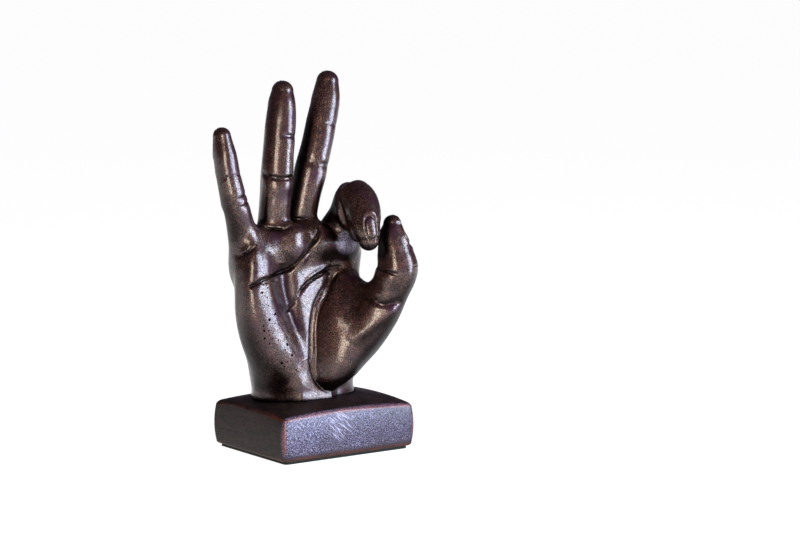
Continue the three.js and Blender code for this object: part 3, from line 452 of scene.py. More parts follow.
def netOf(values, low, step):
    # one vertex in each cell that the surface crosses, at the mean of its crossings of the cell's
    # edges, and one four-sided face round each grid edge that it crosses
    inside = values < 0
    corners = np.array([(i, j, k) for i in (0, 1) for j in (0, 1) for k in (0, 1)])
    shape = np.array(values.shape) - 1
    count = np.zeros(shape, np.int8)
    for i, j, k in corners:
        count += inside[i : i + shape[0], j : j + shape[1], k : k + shape[2]]
    cells = np.argwhere((count > 0) & (count < 8))
    at = np.stack([values[tuple((cells + c).T)] for c in corners], 1)
    total, crossings = np.zeros((len(cells), 3)), np.zeros((len(cells), 1))
    for one in range(8):
        for two in range(one + 1, 8):
            if np.abs(corners[one] - corners[two]).sum() != 1:
                continue
            a, b = at[:, one], at[:, two]
            cut = (a < 0) != (b < 0)
            t = np.where(cut, a / np.where(cut, a - b, 1), 0)[:, None]
            total += np.where(cut[:, None], corners[one] + t * (corners[two] - corners[one]), 0)
            crossings += cut[:, None]
    vertices = low + (cells + total / crossings) * step
    number = np.full(shape, -1)
    number[tuple(cells.T)] = np.arange(len(cells))
    faces = []
    for a in range(3):
        b, c = (a + 1) % 3, (a + 2) % 3
        start = [slice(1, -1)] * 3
        start[a] = slice(None, -1)
        end = list(start)
        end[a] = slice(1, None)
        here, there = inside[tuple(start)], inside[tuple(end)]
        edges = np.argwhere(here != there)
        offset = np.ones(3, int)
        offset[a] = 0
        edges = edges + offset
        leaving = inside[tuple(edges.T)]
        stepB, stepC = np.eye(3, dtype=int)[b], np.eye(3, dtype=int)[c]
        around = [edges - stepB - stepC, edges - stepC, edges, edges - stepB]
        quads = np.stack([number[tuple(cell.T)] for cell in around], 1)
        quads[~leaving] = quads[~leaving][:, ::-1]
        faces.append(quads)
    return vertices, np.concatenate(faces)


def slopeOf(field, points, reach):
    # central differences along the three axes, made unit length
    slope = np.empty_like(points)
    for a in range(3):
        step = np.zeros(3)
        step[a] = reach
        slope[:, a] = field(points + step) - field(points - step)
    return slope / np.maximum(np.linalg.norm(slope, axis=1, keepdims=True), 1e-9)


def settledOn(field, points, step, reach):
    # Newton steps along the slope bring each vertex on to the surface
    slope = slopeOf(field, points, reach)
    for _ in range(3):
        points = points - slope * np.clip(field(points), -step / 2, step / 2)[:, None]
    return points


def meshPiece(name, vertices, faces, normals=None, attributes=None):
    # a smooth mesh in metres, with each vertex's own normal and values where they are given
    mesh = bpy.data.meshes.new(name)
    mesh.from_pydata((vertices * mm).tolist(), [], faces.tolist())
    mesh.polygons.foreach_set("use_smooth", np.ones(len(mesh.polygons), bool))
    for key, values in (attributes or {}).items():
        layer = mesh.attributes.new(key, "FLOAT", "POINT")
        layer.data.foreach_set("value", values.astype(np.float32))
    mesh.update()
    if normals is not None:
        mesh.normals_split_custom_set_from_vertices(normals.tolist())
    piece = bpy.data.objects.new(name, mesh)
    bpy.context.scene.collection.objects.link(piece)
    return piece


blockSet = {
    "width": 81.5, "depth": 68.3,
    "bottom": 1.5,  # the felt's thickness
    "cornerHeight": 23.7, "edgeRise": 1.6, "crownRise": 2.6,
    "sideBulge": 0.8, "cornerRadius": 2.2, "rimRadius": 1.6,
    "socketGap": 0.4, "socketTaper": 0.01, "footInset": 0.3,
    "counterbore": (11.5, 11.5),  # radius and ceiling
    "bore": (-3, 6, 4.5),  # x, y and radius
    "sharpFrom": 50,  # degrees between two faces whose edge stays sharp
    "dip": (0.35, 0.02),  # the top sinks at the socket: depth, and share of the way to the edge
    "wear": 0.25,  # how far handling has worn the edges back, at most
    "wearWaves": (7, 3),  # it varies by two waves, with so many turns round the block
    "wornWidth": 1.8,  # how far from an edge its colour is worn
    # the upper front edges are worn most: from, to and least share, along z and along y
    "wornHeight": (4, 8, 0.35), "wornDepth": (-10, -30, 0.25),
    # the front face, painted lighter as if lit: its limits behind the front and above the ground, which
    # paints shade along its foot, and its fade along x, brighter towards -x
    "paintedLightDepth": (2.2, 0.6), "paintedLightHeight": (2.2, 6), "paintedLightFade": (40, -30, 0.6),
    # round the wrist the stain is also painted shade, where the hand stands on the block
    "stainAndShadeReach": 6,  # how far from the wrist the stain was left thick
    "steps": {"corner": 8, "straight": 60, "below": 7, "rim": 6, "side": 25, "edge": 7, "top": 29},
}


def blockHeight(x, y):
    # with X and Y one less the square of the share of the way to the edge, the corner's height plus
    # the edge's rise times X + Y plus the crown's rise times X Y
    s = blockSet
    fromX, fromY = 1 - (2 * x / s["width"]) ** 2, 1 - (2 * y / s["depth"]) ** 2
    return s["cornerHeight"] + s["edgeRise"] * (fromX + fromY) + s["crownRise"] * fromX * fromY


def blockTopOf(points):
    # height above the crowned top
    return points[:, 2] - blockHeight(points[:, 0], points[:, 1])


def openness(points, normals, reach):
    # how much of the way along its normal a point is clear: 1 in the open, less in a hollow
    ahead = points + normals * reach
    return np.clip(np.minimum(handOf(ahead), blockTopOf(ahead)) / reach, 0, 1)


# What the bronze finish needs to know at each vertex. A reach is how far it looks along its normal
# for open space, or the other way for metal
handMarks = {
    "recessReach": 2, "shelterReach": 9, "ridgeReach": 4,
    "sheltered": (0.2, 0.85),  # the covered share that starts to count, and that counts in full
    "porousReach": 2.5, "porousFacing": (0.75, 0.97),  # round the outer ridge, facing the front
    # the faces that look down are painted as shade, more the further they face down
    "paintedUnderShadeFacing": (0.02, 0.4),  # how far it faces down
    # a dark line down the palm's valley, stain that pooled there and painted shade: points x, z, strength,
    # half width and sharpness
    "valleyStainAndShade": ([(-20, 96), (-21, 88), (-19.5, 79), (-17, 69), (-14.5, 60)], 0.85, 3, 2),
    "valleyStainAndShadeEnds": 0.6,
    "settleReach": 0.15, "normalReach": 0.2,  # of the differences that give the slope
}


def makeHand():
    # the casting's surface as a net of cells, settled on it, with its slope as the normals
    s, step = handMarks, handSet["cell"]
    low, high = (np.array(corner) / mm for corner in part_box("hand"))
    values = joinedUp(sampledOn(castingOf, low - 2 * step, high + 2 * step, step), step)
    vertices, faces = netOf(values, low - 2 * step, step)
    print("hand net", len(vertices), "vertices", len(faces), "faces")
    vertices = settledOn(castingOf, vertices, step, s["settleReach"])
    normals = slopeOf(castingOf, vertices, s["normalReach"])
    covered = 1 - openness(vertices, normals, s["shelterReach"])
    below = handOf(vertices - normals * s["ridgeReach"])  # its depth is less than the reach in a ridge
    # gas pinholes gather along the outer ridge, which was cast uppermost
    porous = bell(np.maximum(limbOf(vertices, handSet["outerRidge"]), 0), s["porousReach"])
    valleyStainAndShade, fromEnd = grooveOf(vertices[:, [0, 2]], s["valleyStainAndShade"])
    # Painted shade: the sheltered share, the faces that look down and the line down the palm's valley darken
    # the finish, and the faces turned towards the thumb's side get a plum painted shade
    hand = meshPiece("cast_hand", np.clip(vertices, low, high), faces, normals, {
        "recess": 1 - openness(vertices, normals, s["recessReach"]),
        "shelter": ease(*s["sheltered"], covered),
        "ridge": 1 - np.clip(-below / s["ridgeReach"], 0, 1),
        "porous": porous * ease(*s["porousFacing"], -normals[:, 1]),
        "paintedShadeSide": normals[:, 0],
        "paintedUnderShade": ease(*s["paintedUnderShadeFacing"], -normals[:, 2]),
        "valleyStainAndShade": valleyStainAndShade * (vertices[:, 1] < 0) * ease(0, s["valleyStainAndShadeEnds"], fromEnd)})
    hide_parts("hand")
    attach(hand, "root")
    return hand


def outlineOf(width, depth, radius, cornerSteps, sideSteps):
    # quarter circles at the corners joined by straight sides, counterclockwise from the front right
    points = []
    for quarter, (sx, sy) in enumerate(((1, -1), (1, 1), (-1, 1), (-1, -1))):
        middle = np.array([sx * (width / 2 - radius), sy * (depth / 2 - radius)])
        angle = (quarter - 1) * math.pi / 2 + np.linspace(0, math.pi / 2, cornerSteps + 1)
        points.append(middle + radius * np.stack([np.cos(angle), np.sin(angle)], 1))
    joined = []
    for quarter in range(4):
        start, end = points[quarter][-1], points[(quarter + 1) % 4][0]
        share = np.linspace(0, 1, sideSteps + 1)[1:-1, None]
        joined += [points[quarter], start + (end - start) * share]
    return np.concatenate(joined)


def facesBetween(rings, closed):
    # four-sided faces from each ring's points to the next ring's; closed also joins last and first
    n, rows = len(rings[0]), len(rings)
    i, r = np.meshgrid(np.arange(n), np.arange(rows if closed else rows - 1))
    nextI, nextR = (i + 1) % n, (r + 1) % rows
    return np.stack([r * n + i, r * n + nextI, nextR * n + nextI, nextR * n + i], -1).reshape(-1, 4)


def wristOutline(middle, circle):
    # from inside the wrist outwards along each direction, by the distance left, until it is nothing
    start, below, share = 10.0, 0.5, 0.8
    away = np.full((len(circle), 1), start)
    for _ in range(40):
        x, y = (middle + away * circle).T
        away[:, 0] -= handOf(np.stack([x, y, blockHeight(x, y) - below], 1)) * share
    return middle + (away + blockSet["socketGap"]) * circle


def blockRings():
    # a profile carried round the block: out along the underside, up the side, in over the crowned
    # top, down the socket, and down the bore to the underside again. Edges are quarter circles, and
    # the side bulges by the square of the way from its middle
    s, steps = blockSet, blockSet["steps"]
    half = np.array([s["width"], s["depth"]]) / 2
    outer = outlineOf(s["width"], s["depth"], s["cornerRadius"], steps["corner"], steps["straight"])
    boreMiddle = np.array(s["bore"][:2], float)
    x, y = (outer - boreMiddle).T
    angle = np.arctan2(y, x)
    circle = np.stack([np.cos(angle), np.sin(angle)], 1)
    socket = wristOutline(boreMiddle, circle)
    along = np.linspace(0, 2 * math.pi, len(outer), endpoint=False)
    waves = np.sin(s["wearWaves"][0] * along + 1) * np.sin(s["wearWaves"][1] * along)
    worn = s["wear"] * (0.6 + 0.4 * waves)
    rings = []

    def ring(flat, height):
        rings.append(np.column_stack([flat, np.broadcast_to(height, len(flat))]))

    def inset(amount):
        return outer * (1 - amount / half)

    bore, recess = boreMiddle + s["bore"][2] * circle, boreMiddle + s["counterbore"][0] * circle
    ring(bore, handSet["seat"])
    ring(bore, s["counterbore"][1])
    ring(recess, s["counterbore"][1])
    ring(recess, s["bottom"])
    radius, bulge = s["rimRadius"], s["sideBulge"]
    foot = inset(radius + bulge + s["footInset"])
    for share in np.linspace(0, 1, steps["below"] + 1)[1:-1]:
        ring(recess + (foot - recess) * share, s["bottom"])
    for turn in np.linspace(0, math.pi / 2, steps["rim"] + 1):
        ring(inset(radius * (1 - math.sin(turn)) + bulge), s["bottom"] + radius * (1 - math.cos(turn)))
    low = s["bottom"] + radius
    for share in np.linspace(0, 1, steps["side"] + 1)[1:-1]:
        flat = inset(bulge * (2 * share - 1) ** 2)
        ring(flat, low + share * (blockHeight(*flat.T) - radius - low))
    for turn in np.linspace(0, math.pi / 2, steps["edge"] + 1):
        back = worn * math.sin(2 * turn)
        flat = inset(radius * (1 - math.cos(turn)) + bulge + back[:, None])
        ring(flat, blockHeight(*flat.T) - radius * (1 - math.sin(turn)) - back)
    edge = inset(radius + bulge)
    for share in np.linspace(0, 1, steps["top"] + 1)[1:]:
        flat = edge + (socket - edge) * share
        ring(flat, blockHeight(*flat.T) - s["dip"][0] * bell(1 - share, s["dip"][1]))
    ring(socket + s["socketTaper"] * (boreMiddle - socket), handSet["seat"])
    return rings


def blockMarks(vertices):
    # how near the wrist, for stain and painted shade, how worn, and how much painted light the front face
    # gets at each vertex. An edge is where the second nearest of the side faces and the top and bottom is
    # near
    s = blockSet
    half = np.array([s["width"], s["depth"]]) / 2
    x, y, z = vertices.T
    toTop = np.minimum(np.abs(blockTopOf(vertices)), np.abs(z - s["bottom"]))
    toFaces = np.column_stack([half - np.abs(vertices[:, :2]), toTop]) - s["sideBulge"] / 2
    worn = 1 - np.clip(np.sort(toFaces, 1)[:, 1] / s["wornWidth"], 0, 1)
    # painted light on the front face: full on the face, painted darker along its foot and lighter towards -x
    paintedFrontLight = ease(*s["paintedLightDepth"], half[1] - s["sideBulge"] + y) * ease(*s["paintedLightHeight"], z)
    return {
        "shelter": 1 - np.clip(handOf(vertices) / s["stainAndShadeReach"], 0, 1),
        "edge": worn * fadeOf(z, *s["wornHeight"]) * fadeOf(y, *s["wornDepth"]),
        "front": paintedFrontLight * fadeOf(x, *s["paintedLightFade"]),
    }


def makeBlock():
    # the rings joined up to one closed skin
    rings = blockRings()
    vertices = np.concatenate(rings)
    block = meshPiece("cast_block", vertices, facesBetween(rings, True), None, blockMarks(vertices))
    block.data.set_sharp_from_angle(angle=math.radians(blockSet["sharpFrom"]))
    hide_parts("plinth")
    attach(block, "root")
    print("block", len(vertices), "vertices")
    return block


feltSet = {
    "thickness": 1.5,
    "steps": {"corner": 6, "straight": 60, "thickness": 4, "inwards": 13},
    "middle": 0.02,  # the innermost ring, as a share of the outline
}


def makeFelt():
    # an outline carried up through the thickness, closed by rings that shrink to the middle
    s, steps = feltSet, feltSet["steps"]
    low, high = (np.array(corner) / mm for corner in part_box("felt_base"))
    width, depth = (high - low)[:2]
    outer = outlineOf(width, depth, blockSet["cornerRadius"], steps["corner"], steps["straight"])
    shares = np.linspace(s["middle"], 1, steps["inwards"] + 1)
    heights = low[2] + s["thickness"] * np.linspace(0, 1, steps["thickness"] + 1)
    profile = [(share, low[2]) for share in shares]
    profile += [(1, height) for height in heights[1:]]
    profile += [(share, high[2]) for share in shares[-2::-1]]
    rings = [np.column_stack([outer * share, np.full(len(outer), height)]) for share, height in profile]
    lowest = np.arange(len(outer))[::-1]
    highest = (len(rings) - 1) * len(outer) + np.arange(len(outer))
    faces = facesBetween(rings, False).tolist() + [lowest.tolist(), highest.tolist()]
    mesh = bpy.data.meshes.new("felt_pad")
    mesh.from_pydata((np.concatenate(rings) * mm).tolist(), [], faces)
    pad = bpy.data.objects.new("felt_pad", mesh)
    bpy.context.scene.collection.objects.link(pad)
    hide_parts("felt_base")
    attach(pad, "root")
    return pad


hand = makeHand()
block = makeBlock()
felt = makeFelt()
print("pieces made")


# Materials
def linearOf(hexColour):
    # sRGB: below 0.04045 a straight line, above it a power of 2.4
    parts = [int(hexColour[i : i + 2], 16) / 255 for i in (1, 3, 5)]
    return [c / 12.92 if c <= 0.04045 else ((c + 0.055) / 1.055) ** 2.4 for c in parts] + [1]


def tonesOf(look):
    return {name: linearOf(colour) for name, colour in look["colours"].items()}


def add(tree, kind, values=None, output=0, **settings):
    # one node. A value that is another node's output is linked, and any other sets the input
    node = tree.nodes.new("ShaderNode" + kind)
    for name, setting in settings.items():
        setattr(node, name, setting)
    for name, value in (values or {}).items():
        if isinstance(value, bpy.types.NodeSocket):
            tree.links.new(value, node.inputs[name])
        else:
            node.inputs[name].default_value = value
    return node.outputs[output] if node.outputs else node


def newMaterial(name):
    # an empty node tree and the place on the object in millimetres
    material = bpy.data.materials.new(name)
    material.use_nodes = True
    tree = material.node_tree
    tree.nodes.clear()
    place = add(tree, "TexCoord", output="Object")
    return material, tree, add(tree, "VectorMath", {0: place, "Scale": 1000}, operation="SCALE")


# Sizes in mm. The grain is drawn coarser than real metal powder, so that it shows. A span maps a
# value between its 1 and 2 to between its 3 and 4, which are 0 and 1 where it leaves them out
bronzeSet = {
    # Some of these stand in for light: the plum, the stain and the dark of the palm's valley are also
    # painted shade, the gold is also a painted sheen, and the pale lilac is a painted highlight
    "colours": {
        "dark": "#180a0c", "brown": "#502a25", "plum": "#35132d", "gold": "#c8a486",
        "stainAndShade": "#0a0506", "valleyStainAndShade": "#1c0d1a", "paintedHighlight": "#a7a2c0", "pit": "#040202",
    },
    "coatRoughness": 0.1,
    "coatIor": 1.6,  # above wax's 1.45, to match the photo's strong gloss
    "blotch": 17, "hue": 9, "mottle": 3.2, "grain": 0.5, "wave": 6.5,
    "brushWidth": 0.6, "brushLength": 9, "brushTurn": 0.67,
    "pinholes": ((1.7, 0.42), (3.2, 0.75)),  # spacing and largest radius
    "waveHeight": 0.2, "mottleHeight": 0.06, "grainHeight": 0.055, "pitDepth": 0.3,
    # where the pale highlight is painted
    "paintedHighlightSpot": (14.5, -10, 107.5),  # in the palm, below the forefinger
    "brushShare": 0.4, "grainShare": 0.45,  # of the brown's pattern
    # the plum painted as shade on the thumb's side, the strength of the stain and painted shade, and how
    # much wax they take off
    "paintedShadeSidePlum": 0.16, "stainAndShadeStrength": 0.85, "hollowAndShadeMatt": 0.9, "porousChance": 0.5,
    "spans": {
        "brown": {1: 0.42, 2: 0.62}, "plum": {1: 0.46, 2: 0.64},
        "speckle": {1: 0.42, 2: 0.56, 3: 0.9, 4: 0.35}, "patches": {1: 0.42, 2: 0.72, 3: 0.05, 4: 0.65},
        "tops": {1: 0.52, 2: 0.7, 4: 0.55}, "paintedHighlight": {1: 7, 2: 4.2, 4: 0.9},
        "kept": {1: 0.44, 2: 0.56, 3: 0.25}, "holeSize": {1: 0.8, 2: 1.3}, "holeEdge": {1: -0.02, 2: 0.04},
        "gloss": {1: 0.4, 2: 0.54, 3: 0.2}, "roughness": {1: 0.3, 2: 0.75, 3: 0.34, 4: 0.5},
        "metallic": {3: 0.55},
    },
}


def makeBronze():
    # cold-cast bronze: resin with metal powder, so part of a metal's tinted sheen. A dark stain stays in the
    # creases, and the same dark is painted as shade in sheltered places, on the faces that look down and,
    # with stain, down the palm's valley. A plum tint comes at random and is painted as shade on the faces
    # turned towards the thumb's side. The high places are rubbed back to gold, which is also a painted sheen
    # on the faces turned away from the thumb's side. One pale patch below the forefinger is a painted
    # highlight, and polished wax gives the sharp pale gloss
    s, tones, spans = bronzeSet, tonesOf(bronzeSet), bronzeSet["spans"]
    material, tree, vector = newMaterial("patinated cold-cast bronze, waxed")
    patterns = (("blotch", 2, 0.5), ("hue", 3, 0.5), ("mottle", 4, 0.6), ("grain", 1, 0.5), ("wave", 1, 0.5))
    blotch, hue, mottle, grain, wave = (
        add(tree, "TexNoise", {"Vector": vector, "Scale": 1 / s[name], "Detail": detail, "Roughness": rough})
        for name, detail, rough in patterns)
    recess, shelter, ridge, porous, paintedShadeSide, paintedUnderShade, valleyStainAndShade = (
        add(tree, "Attribute", attribute_name=name, output="Fac")
        for name in ("recess", "shelter", "ridge", "porous", "paintedShadeSide", "paintedUnderShade", "valleyStainAndShade"))

    # stain brushed on in diagonal strokes over a mottled ground
    turned = add(tree, "VectorRotate", {"Vector": vector, "Axis": (0, 1, 0), "Angle": s["brushTurn"]})
    across, along = 1 / s["brushWidth"], 1 / s["brushLength"]
    stroke = add(tree, "VectorMath", {0: turned, 1: (across, across, along)}, operation="MULTIPLY")
    brush = add(tree, "TexNoise", {"Vector": stroke, "Scale": 1, "Detail": 2})
    shade = add(tree, "Mix", {0: s["brushShare"], 2: mottle, 3: brush})
    shade = add(tree, "Mix", {0: s["grainShare"], 2: shade, 3: grain})
    shade = add(tree, "MapRange", {0: shade, **spans["brown"]})
    colour = add(tree, "Mix", {0: shade, 6: tones["dark"], 7: tones["brown"]}, 2, data_type="RGBA")
    # plum: at random, and painted as shade on the faces turned towards the thumb's side
    plum = add(tree, "Math", {0: paintedShadeSide, 1: s["paintedShadeSidePlum"], 2: hue}, operation="MULTIPLY_ADD")
    plum = add(tree, "MapRange", {0: plum, **spans["plum"]})
    speckle = add(tree, "MapRange", {0: grain, **spans["speckle"]})
    plum = add(tree, "Math", {0: plum, 1: speckle}, operation="MULTIPLY")

    # gold on the tops of the grain, most on the high places and in large soft patches, as rubbed wear; it is
    # kept off the plum, so that it is also a painted sheen on the faces turned away from the thumb's side
    patches = add(tree, "MapRange", {0: blotch, **spans["patches"]})
    high = add(tree, "Math", {0: ridge, 1: patches}, operation="ADD")
    high = add(tree, "Math", {0: high, 1: plum}, operation="SUBTRACT")
    tops = add(tree, "MapRange", {0: grain, **spans["tops"]})
    goldWearAndSheen = add(tree, "Math", {0: high, 1: tops}, operation="MULTIPLY", use_clamp=True)

    # stain left in the creases, and painted shade in sheltered places and on the faces that look down; then
    # the dark line down the palm's valley, stain and painted shade
    low = add(tree, "Math", {0: recess, 1: shelter}, operation="MAXIMUM", use_clamp=True)
    low = add(tree, "Math", {0: low, 1: paintedUnderShade}, operation="MAXIMUM")
    stainedAndShaded = add(tree, "Math", {0: low, 1: s["stainAndShadeStrength"]}, operation="MULTIPLY")
    low = add(tree, "Math", {0: stainedAndShaded, 1: valleyStainAndShade}, operation="MAXIMUM")

    # a painted highlight: a pale patch below the forefinger, broken by the grain, where the stain and the
    # painted shade are taken away
    away = add(tree, "VectorMath", {0: vector, 1: s["paintedHighlightSpot"]}, "Value", operation="DISTANCE")
    paintedHighlight = add(tree, "MapRange", {0: away, **spans["paintedHighlight"]})
    kept = add(tree, "MapRange", {0: grain, **spans["kept"]})
    paintedHighlight = add(tree, "Math", {0: paintedHighlight, 1: kept}, operation="MULTIPLY")
    low = add(tree, "Math", {0: low, 1: paintedHighlight}, operation="SUBTRACT", use_clamp=True)

    # pinholes that gas left in the casting: in a share of scattered cells, each of its own size
    holes = []
    for spacing, radius in s["pinholes"]:
        distance = add(tree, "TexVoronoi", {"Vector": vector, "Scale": 1 / spacing})
        chance = add(tree, "SeparateColor", {0: distance.node.outputs["Color"]})
        chance = add(tree, "Math", {0: porous, 1: s["porousChance"], 2: chance}, operation="MULTIPLY_ADD")
        size = add(tree, "MapRange", {0: chance, **spans["holeSize"], 4: radius / spacing})
        within = add(tree, "Math", {0: size, 1: distance}, operation="SUBTRACT")
        holes.append(add(tree, "MapRange", {0: within, **spans["holeEdge"]}))
    hole = add(tree, "Math", {0: holes[0], 1: holes[1]}, operation="MAXIMUM")
    layers = {"plum": plum, "gold": goldWearAndSheen, "stainAndShade": stainedAndShaded, "valleyStainAndShade": valleyStainAndShade, "paintedHighlight": paintedHighlight, "pit": hole}
    for name, share in layers.items():
        colour = add(tree, "Mix", {0: share, 6: colour, 7: tones[name]}, 2, data_type="RGBA")

    # the wax is thinner in the hollows and where shade is painted, broken by the grain, and missing in the
    # pinholes
    gloss = add(tree, "MapRange", {0: grain, **spans["gloss"]})
    matt = add(tree, "Math", {0: low, 1: s["hollowAndShadeMatt"]}, operation="MULTIPLY")
    matt = add(tree, "Math", {0: matt, 1: hole}, operation="MAXIMUM")
    matt = add(tree, "Math", {0: 1, 1: matt}, operation="SUBTRACT")
    gloss = add(tree, "Math", {0: gloss, 1: matt}, operation="MULTIPLY")
    rough = add(tree, "MapRange", {0: grain, **spans["roughness"]})
    rough = add(tree, "Math", {0: rough, 1: hole}, operation="MAXIMUM")
    # where the stain and the painted shade are thick, all of the shine takes their dark colour and so hides
    # the resin's gloss: the reflections are painted dark there too
    covered = add(tree, "Math", {0: low, 1: hole}, operation="MAXIMUM")
    metallic = add(tree, "MapRange", {0: covered, **spans["metallic"]})
    normal = add(tree, "Bump", {"Height": wave, "Distance": s["waveHeight"] * mm, "Strength": 1})
    reliefs = (mottle, s["mottleHeight"]), (grain, s["grainHeight"]), (hole, -s["pitDepth"])
    for height, amount in reliefs:
        normal = add(tree, "Bump", {"Height": height, "Distance": amount * mm, "Strength": 1,
                                    "Normal": normal})
    shader = add(tree, "BsdfPrincipled", {
        "Base Color": colour, "Metallic": metallic, "Roughness": rough, "Normal": normal,
        "Coat Weight": gloss, "Coat Roughness": s["coatRoughness"], "Coat IOR": s["coatIor"],
        "Coat Normal": normal})
    add(tree, "OutputMaterial", {"Surface": shader})
    return material


satinSet = {
    # The violet and pale are painted light on the face under the palm, the pale also marks the scratches,
    # and the stain round the wrist is also painted shade
    "colours": {
        "dark": "#140c0c", "brown": "#3a2624", "paintedLitViolet": "#403868", "paleGlintsAndScratches": "#bfbde0",
        "worn": "#8a4632", "stainAndShade": "#0b0707",
    },
    "metallic": 0.3, "specular": 0.3, "coatIor": 1.6, "coatRoughness": 0.2,
    "mottle": 5, "paintedLightHaze": 22, "grain": 0.5, "brushLength": 16, "brushWidth": 0.8,
    "scratchLength": 9, "scratchWidth": 0.5, "scratchTurns": (-0.8, -0.6),
    "scratchedSpot": (-6, -34, 17), "grainHeight": 0.1, "scratchDepth": 0.03, "brushShare": 0.5,
    "spans": {
        "brown": {1: 0.4, 2: 0.64}, "tops": {1: 0.4, 2: 0.56}, "paintedGlints": {1: 0.5, 2: 0.66, 4: 0.8},
        "paintedLightHaze": {1: 0.35, 2: 0.6, 3: 0.6}, "scratched": {1: 9, 2: 4.5}, "scratch": {1: 0.62, 2: 0.72},
        "patchy": {1: 0.3, 2: 0.52, 3: 0.25}, "roughness": {1: 0.3, 2: 0.75, 3: 0.45, 4: 0.7},
        "gloss": {3: 0.075, 4: 0.5},
    },
}


def makeSatin():
    # the same resin, stained brown with a wide brush. The face under the palm is painted as lit: a violet
    # haze with pale painted glints, brighter towards -x, painted darker along its foot, and glossier than
    # the rest; it has a few crossed scratches. The undercoat shows red-brown where the edges are worn, and
    # round the wrist the stain is darkened further as painted shade
    s, tones, spans = satinSet, tonesOf(satinSet), satinSet["spans"]
    material, tree, vector = newMaterial("satin cold-cast bronze, stained, front painted lit")
    mottle = add(tree, "TexNoise", {"Vector": vector, "Scale": 1 / s["mottle"], "Detail": 5,
                                    "Roughness": 0.6})
    grain = add(tree, "TexNoise", {"Vector": vector, "Scale": 1 / s["grain"], "Detail": 2})
    along, across = 1 / s["brushLength"], 1 / s["brushWidth"]
    stroke = add(tree, "VectorMath", {0: vector, 1: (along, along, across)}, operation="MULTIPLY")
    brush = add(tree, "TexNoise", {"Vector": stroke, "Scale": 1, "Detail": 2})
    edge, shelter, front = (
        add(tree, "Attribute", attribute_name=name, output="Fac")
        for name in ("edge", "shelter", "front"))
    shade = add(tree, "Mix", {0: s["brushShare"], 2: mottle, 3: brush})
    shade = add(tree, "MapRange", {0: shade, **spans["brown"]})
    colour = add(tree, "Mix", {0: shade, 6: tones["dark"], 7: tones["brown"]}, 2, data_type="RGBA")
    # painted light on the face under the palm: violet on the tops of the grain and pale painted glints, laid
    # on in a haze
    tops = add(tree, "MapRange", {0: grain, **spans["tops"]})
    paintedLitColour = add(tree, "Mix", {0: tops, 6: tones["dark"], 7: tones["paintedLitViolet"]}, 2, data_type="RGBA")
    paintedGlints = add(tree, "MapRange", {0: grain, **spans["paintedGlints"]})
    paintedLitColour = add(tree, "Mix", {0: paintedGlints, 6: paintedLitColour, 7: tones["paleGlintsAndScratches"]}, 2, data_type="RGBA")
    paintedLightHaze = add(tree, "TexNoise", {"Vector": vector, "Scale": 1 / s["paintedLightHaze"], "Detail": 3})
    paintedLightHaze = add(tree, "MapRange", {0: paintedLightHaze, **spans["paintedLightHaze"]})
    paintedLightHaze = add(tree, "Math", {0: paintedLightHaze, 1: front}, operation="MULTIPLY")

    # scratches in a round spot, along two directions
    away = add(tree, "VectorMath", {0: vector, 1: s["scratchedSpot"]}, "Value", operation="DISTANCE")
    spot = add(tree, "MapRange", {0: away, **spans["scratched"]})
    scratches = 0
    for turn in s["scratchTurns"]:
        turned = add(tree, "VectorRotate", {"Vector": vector, "Axis": (0, 1, 0), "Angle": turn})
        along, across = 1 / s["scratchLength"], 1 / s["scratchWidth"]
        stroke = add(tree, "VectorMath", {0: turned, 1: (along, along, across)}, operation="MULTIPLY")
        line = add(tree, "TexNoise", {"Vector": stroke, "Scale": 1, "Detail": 0})
        line = add(tree, "MapRange", {0: line, **spans["scratch"]})
        scratches = add(tree, "Math", {0: line, 1: scratches}, operation="MAXIMUM")
    scratches = add(tree, "Math", {0: scratches, 1: spot}, operation="MULTIPLY")
    patchy = add(tree, "MapRange", {0: mottle, **spans["patchy"]})
    worn = add(tree, "Math", {0: edge, 1: patchy}, operation="MULTIPLY")
    # the painted light, the scratches, the worn edges, and the stain round the wrist, which is also painted
    # shade
    layers = (paintedLightHaze, paintedLitColour), (scratches, tones["paleGlintsAndScratches"]), (worn, tones["worn"]), (shelter, tones["stainAndShade"])
    for share, tone in layers:
        colour = add(tree, "Mix", {0: share, 6: colour, 7: tone}, 2, data_type="RGBA")
    rough = add(tree, "MapRange", {0: grain, **spans["roughness"]})
    gloss = add(tree, "MapRange", {0: front, **spans["gloss"]})
    normal = add(tree, "Bump", {"Height": grain, "Distance": s["grainHeight"] * mm, "Strength": 1})
    normal = add(tree, "Bump", {"Height": scratches, "Distance": -s["scratchDepth"] * mm, "Strength": 1,
                                "Normal": normal})
    shader = add(tree, "BsdfPrincipled", {
        "Base Color": colour, "Metallic": s["metallic"], "Roughness": rough, "Normal": normal,
        "Specular IOR Level": s["specular"], "Coat Weight": gloss, "Coat Roughness": s["coatRoughness"],
        "Coat IOR": s["coatIor"], "Coat Normal": normal})
    add(tree, "OutputMaterial", {"Surface": shader})
    return material


feltLook = {
    "colours": {"dark": "#090c0b", "light": "#1b2320"},
    "fibre": 0.3, "clump": 2.5, "height": 0.15, "roughness": 0.95, "sheen": 0.15,
    "clumps": {1: 0.3, 2: 0.7, 3: 0.7, 4: 1.2},
}


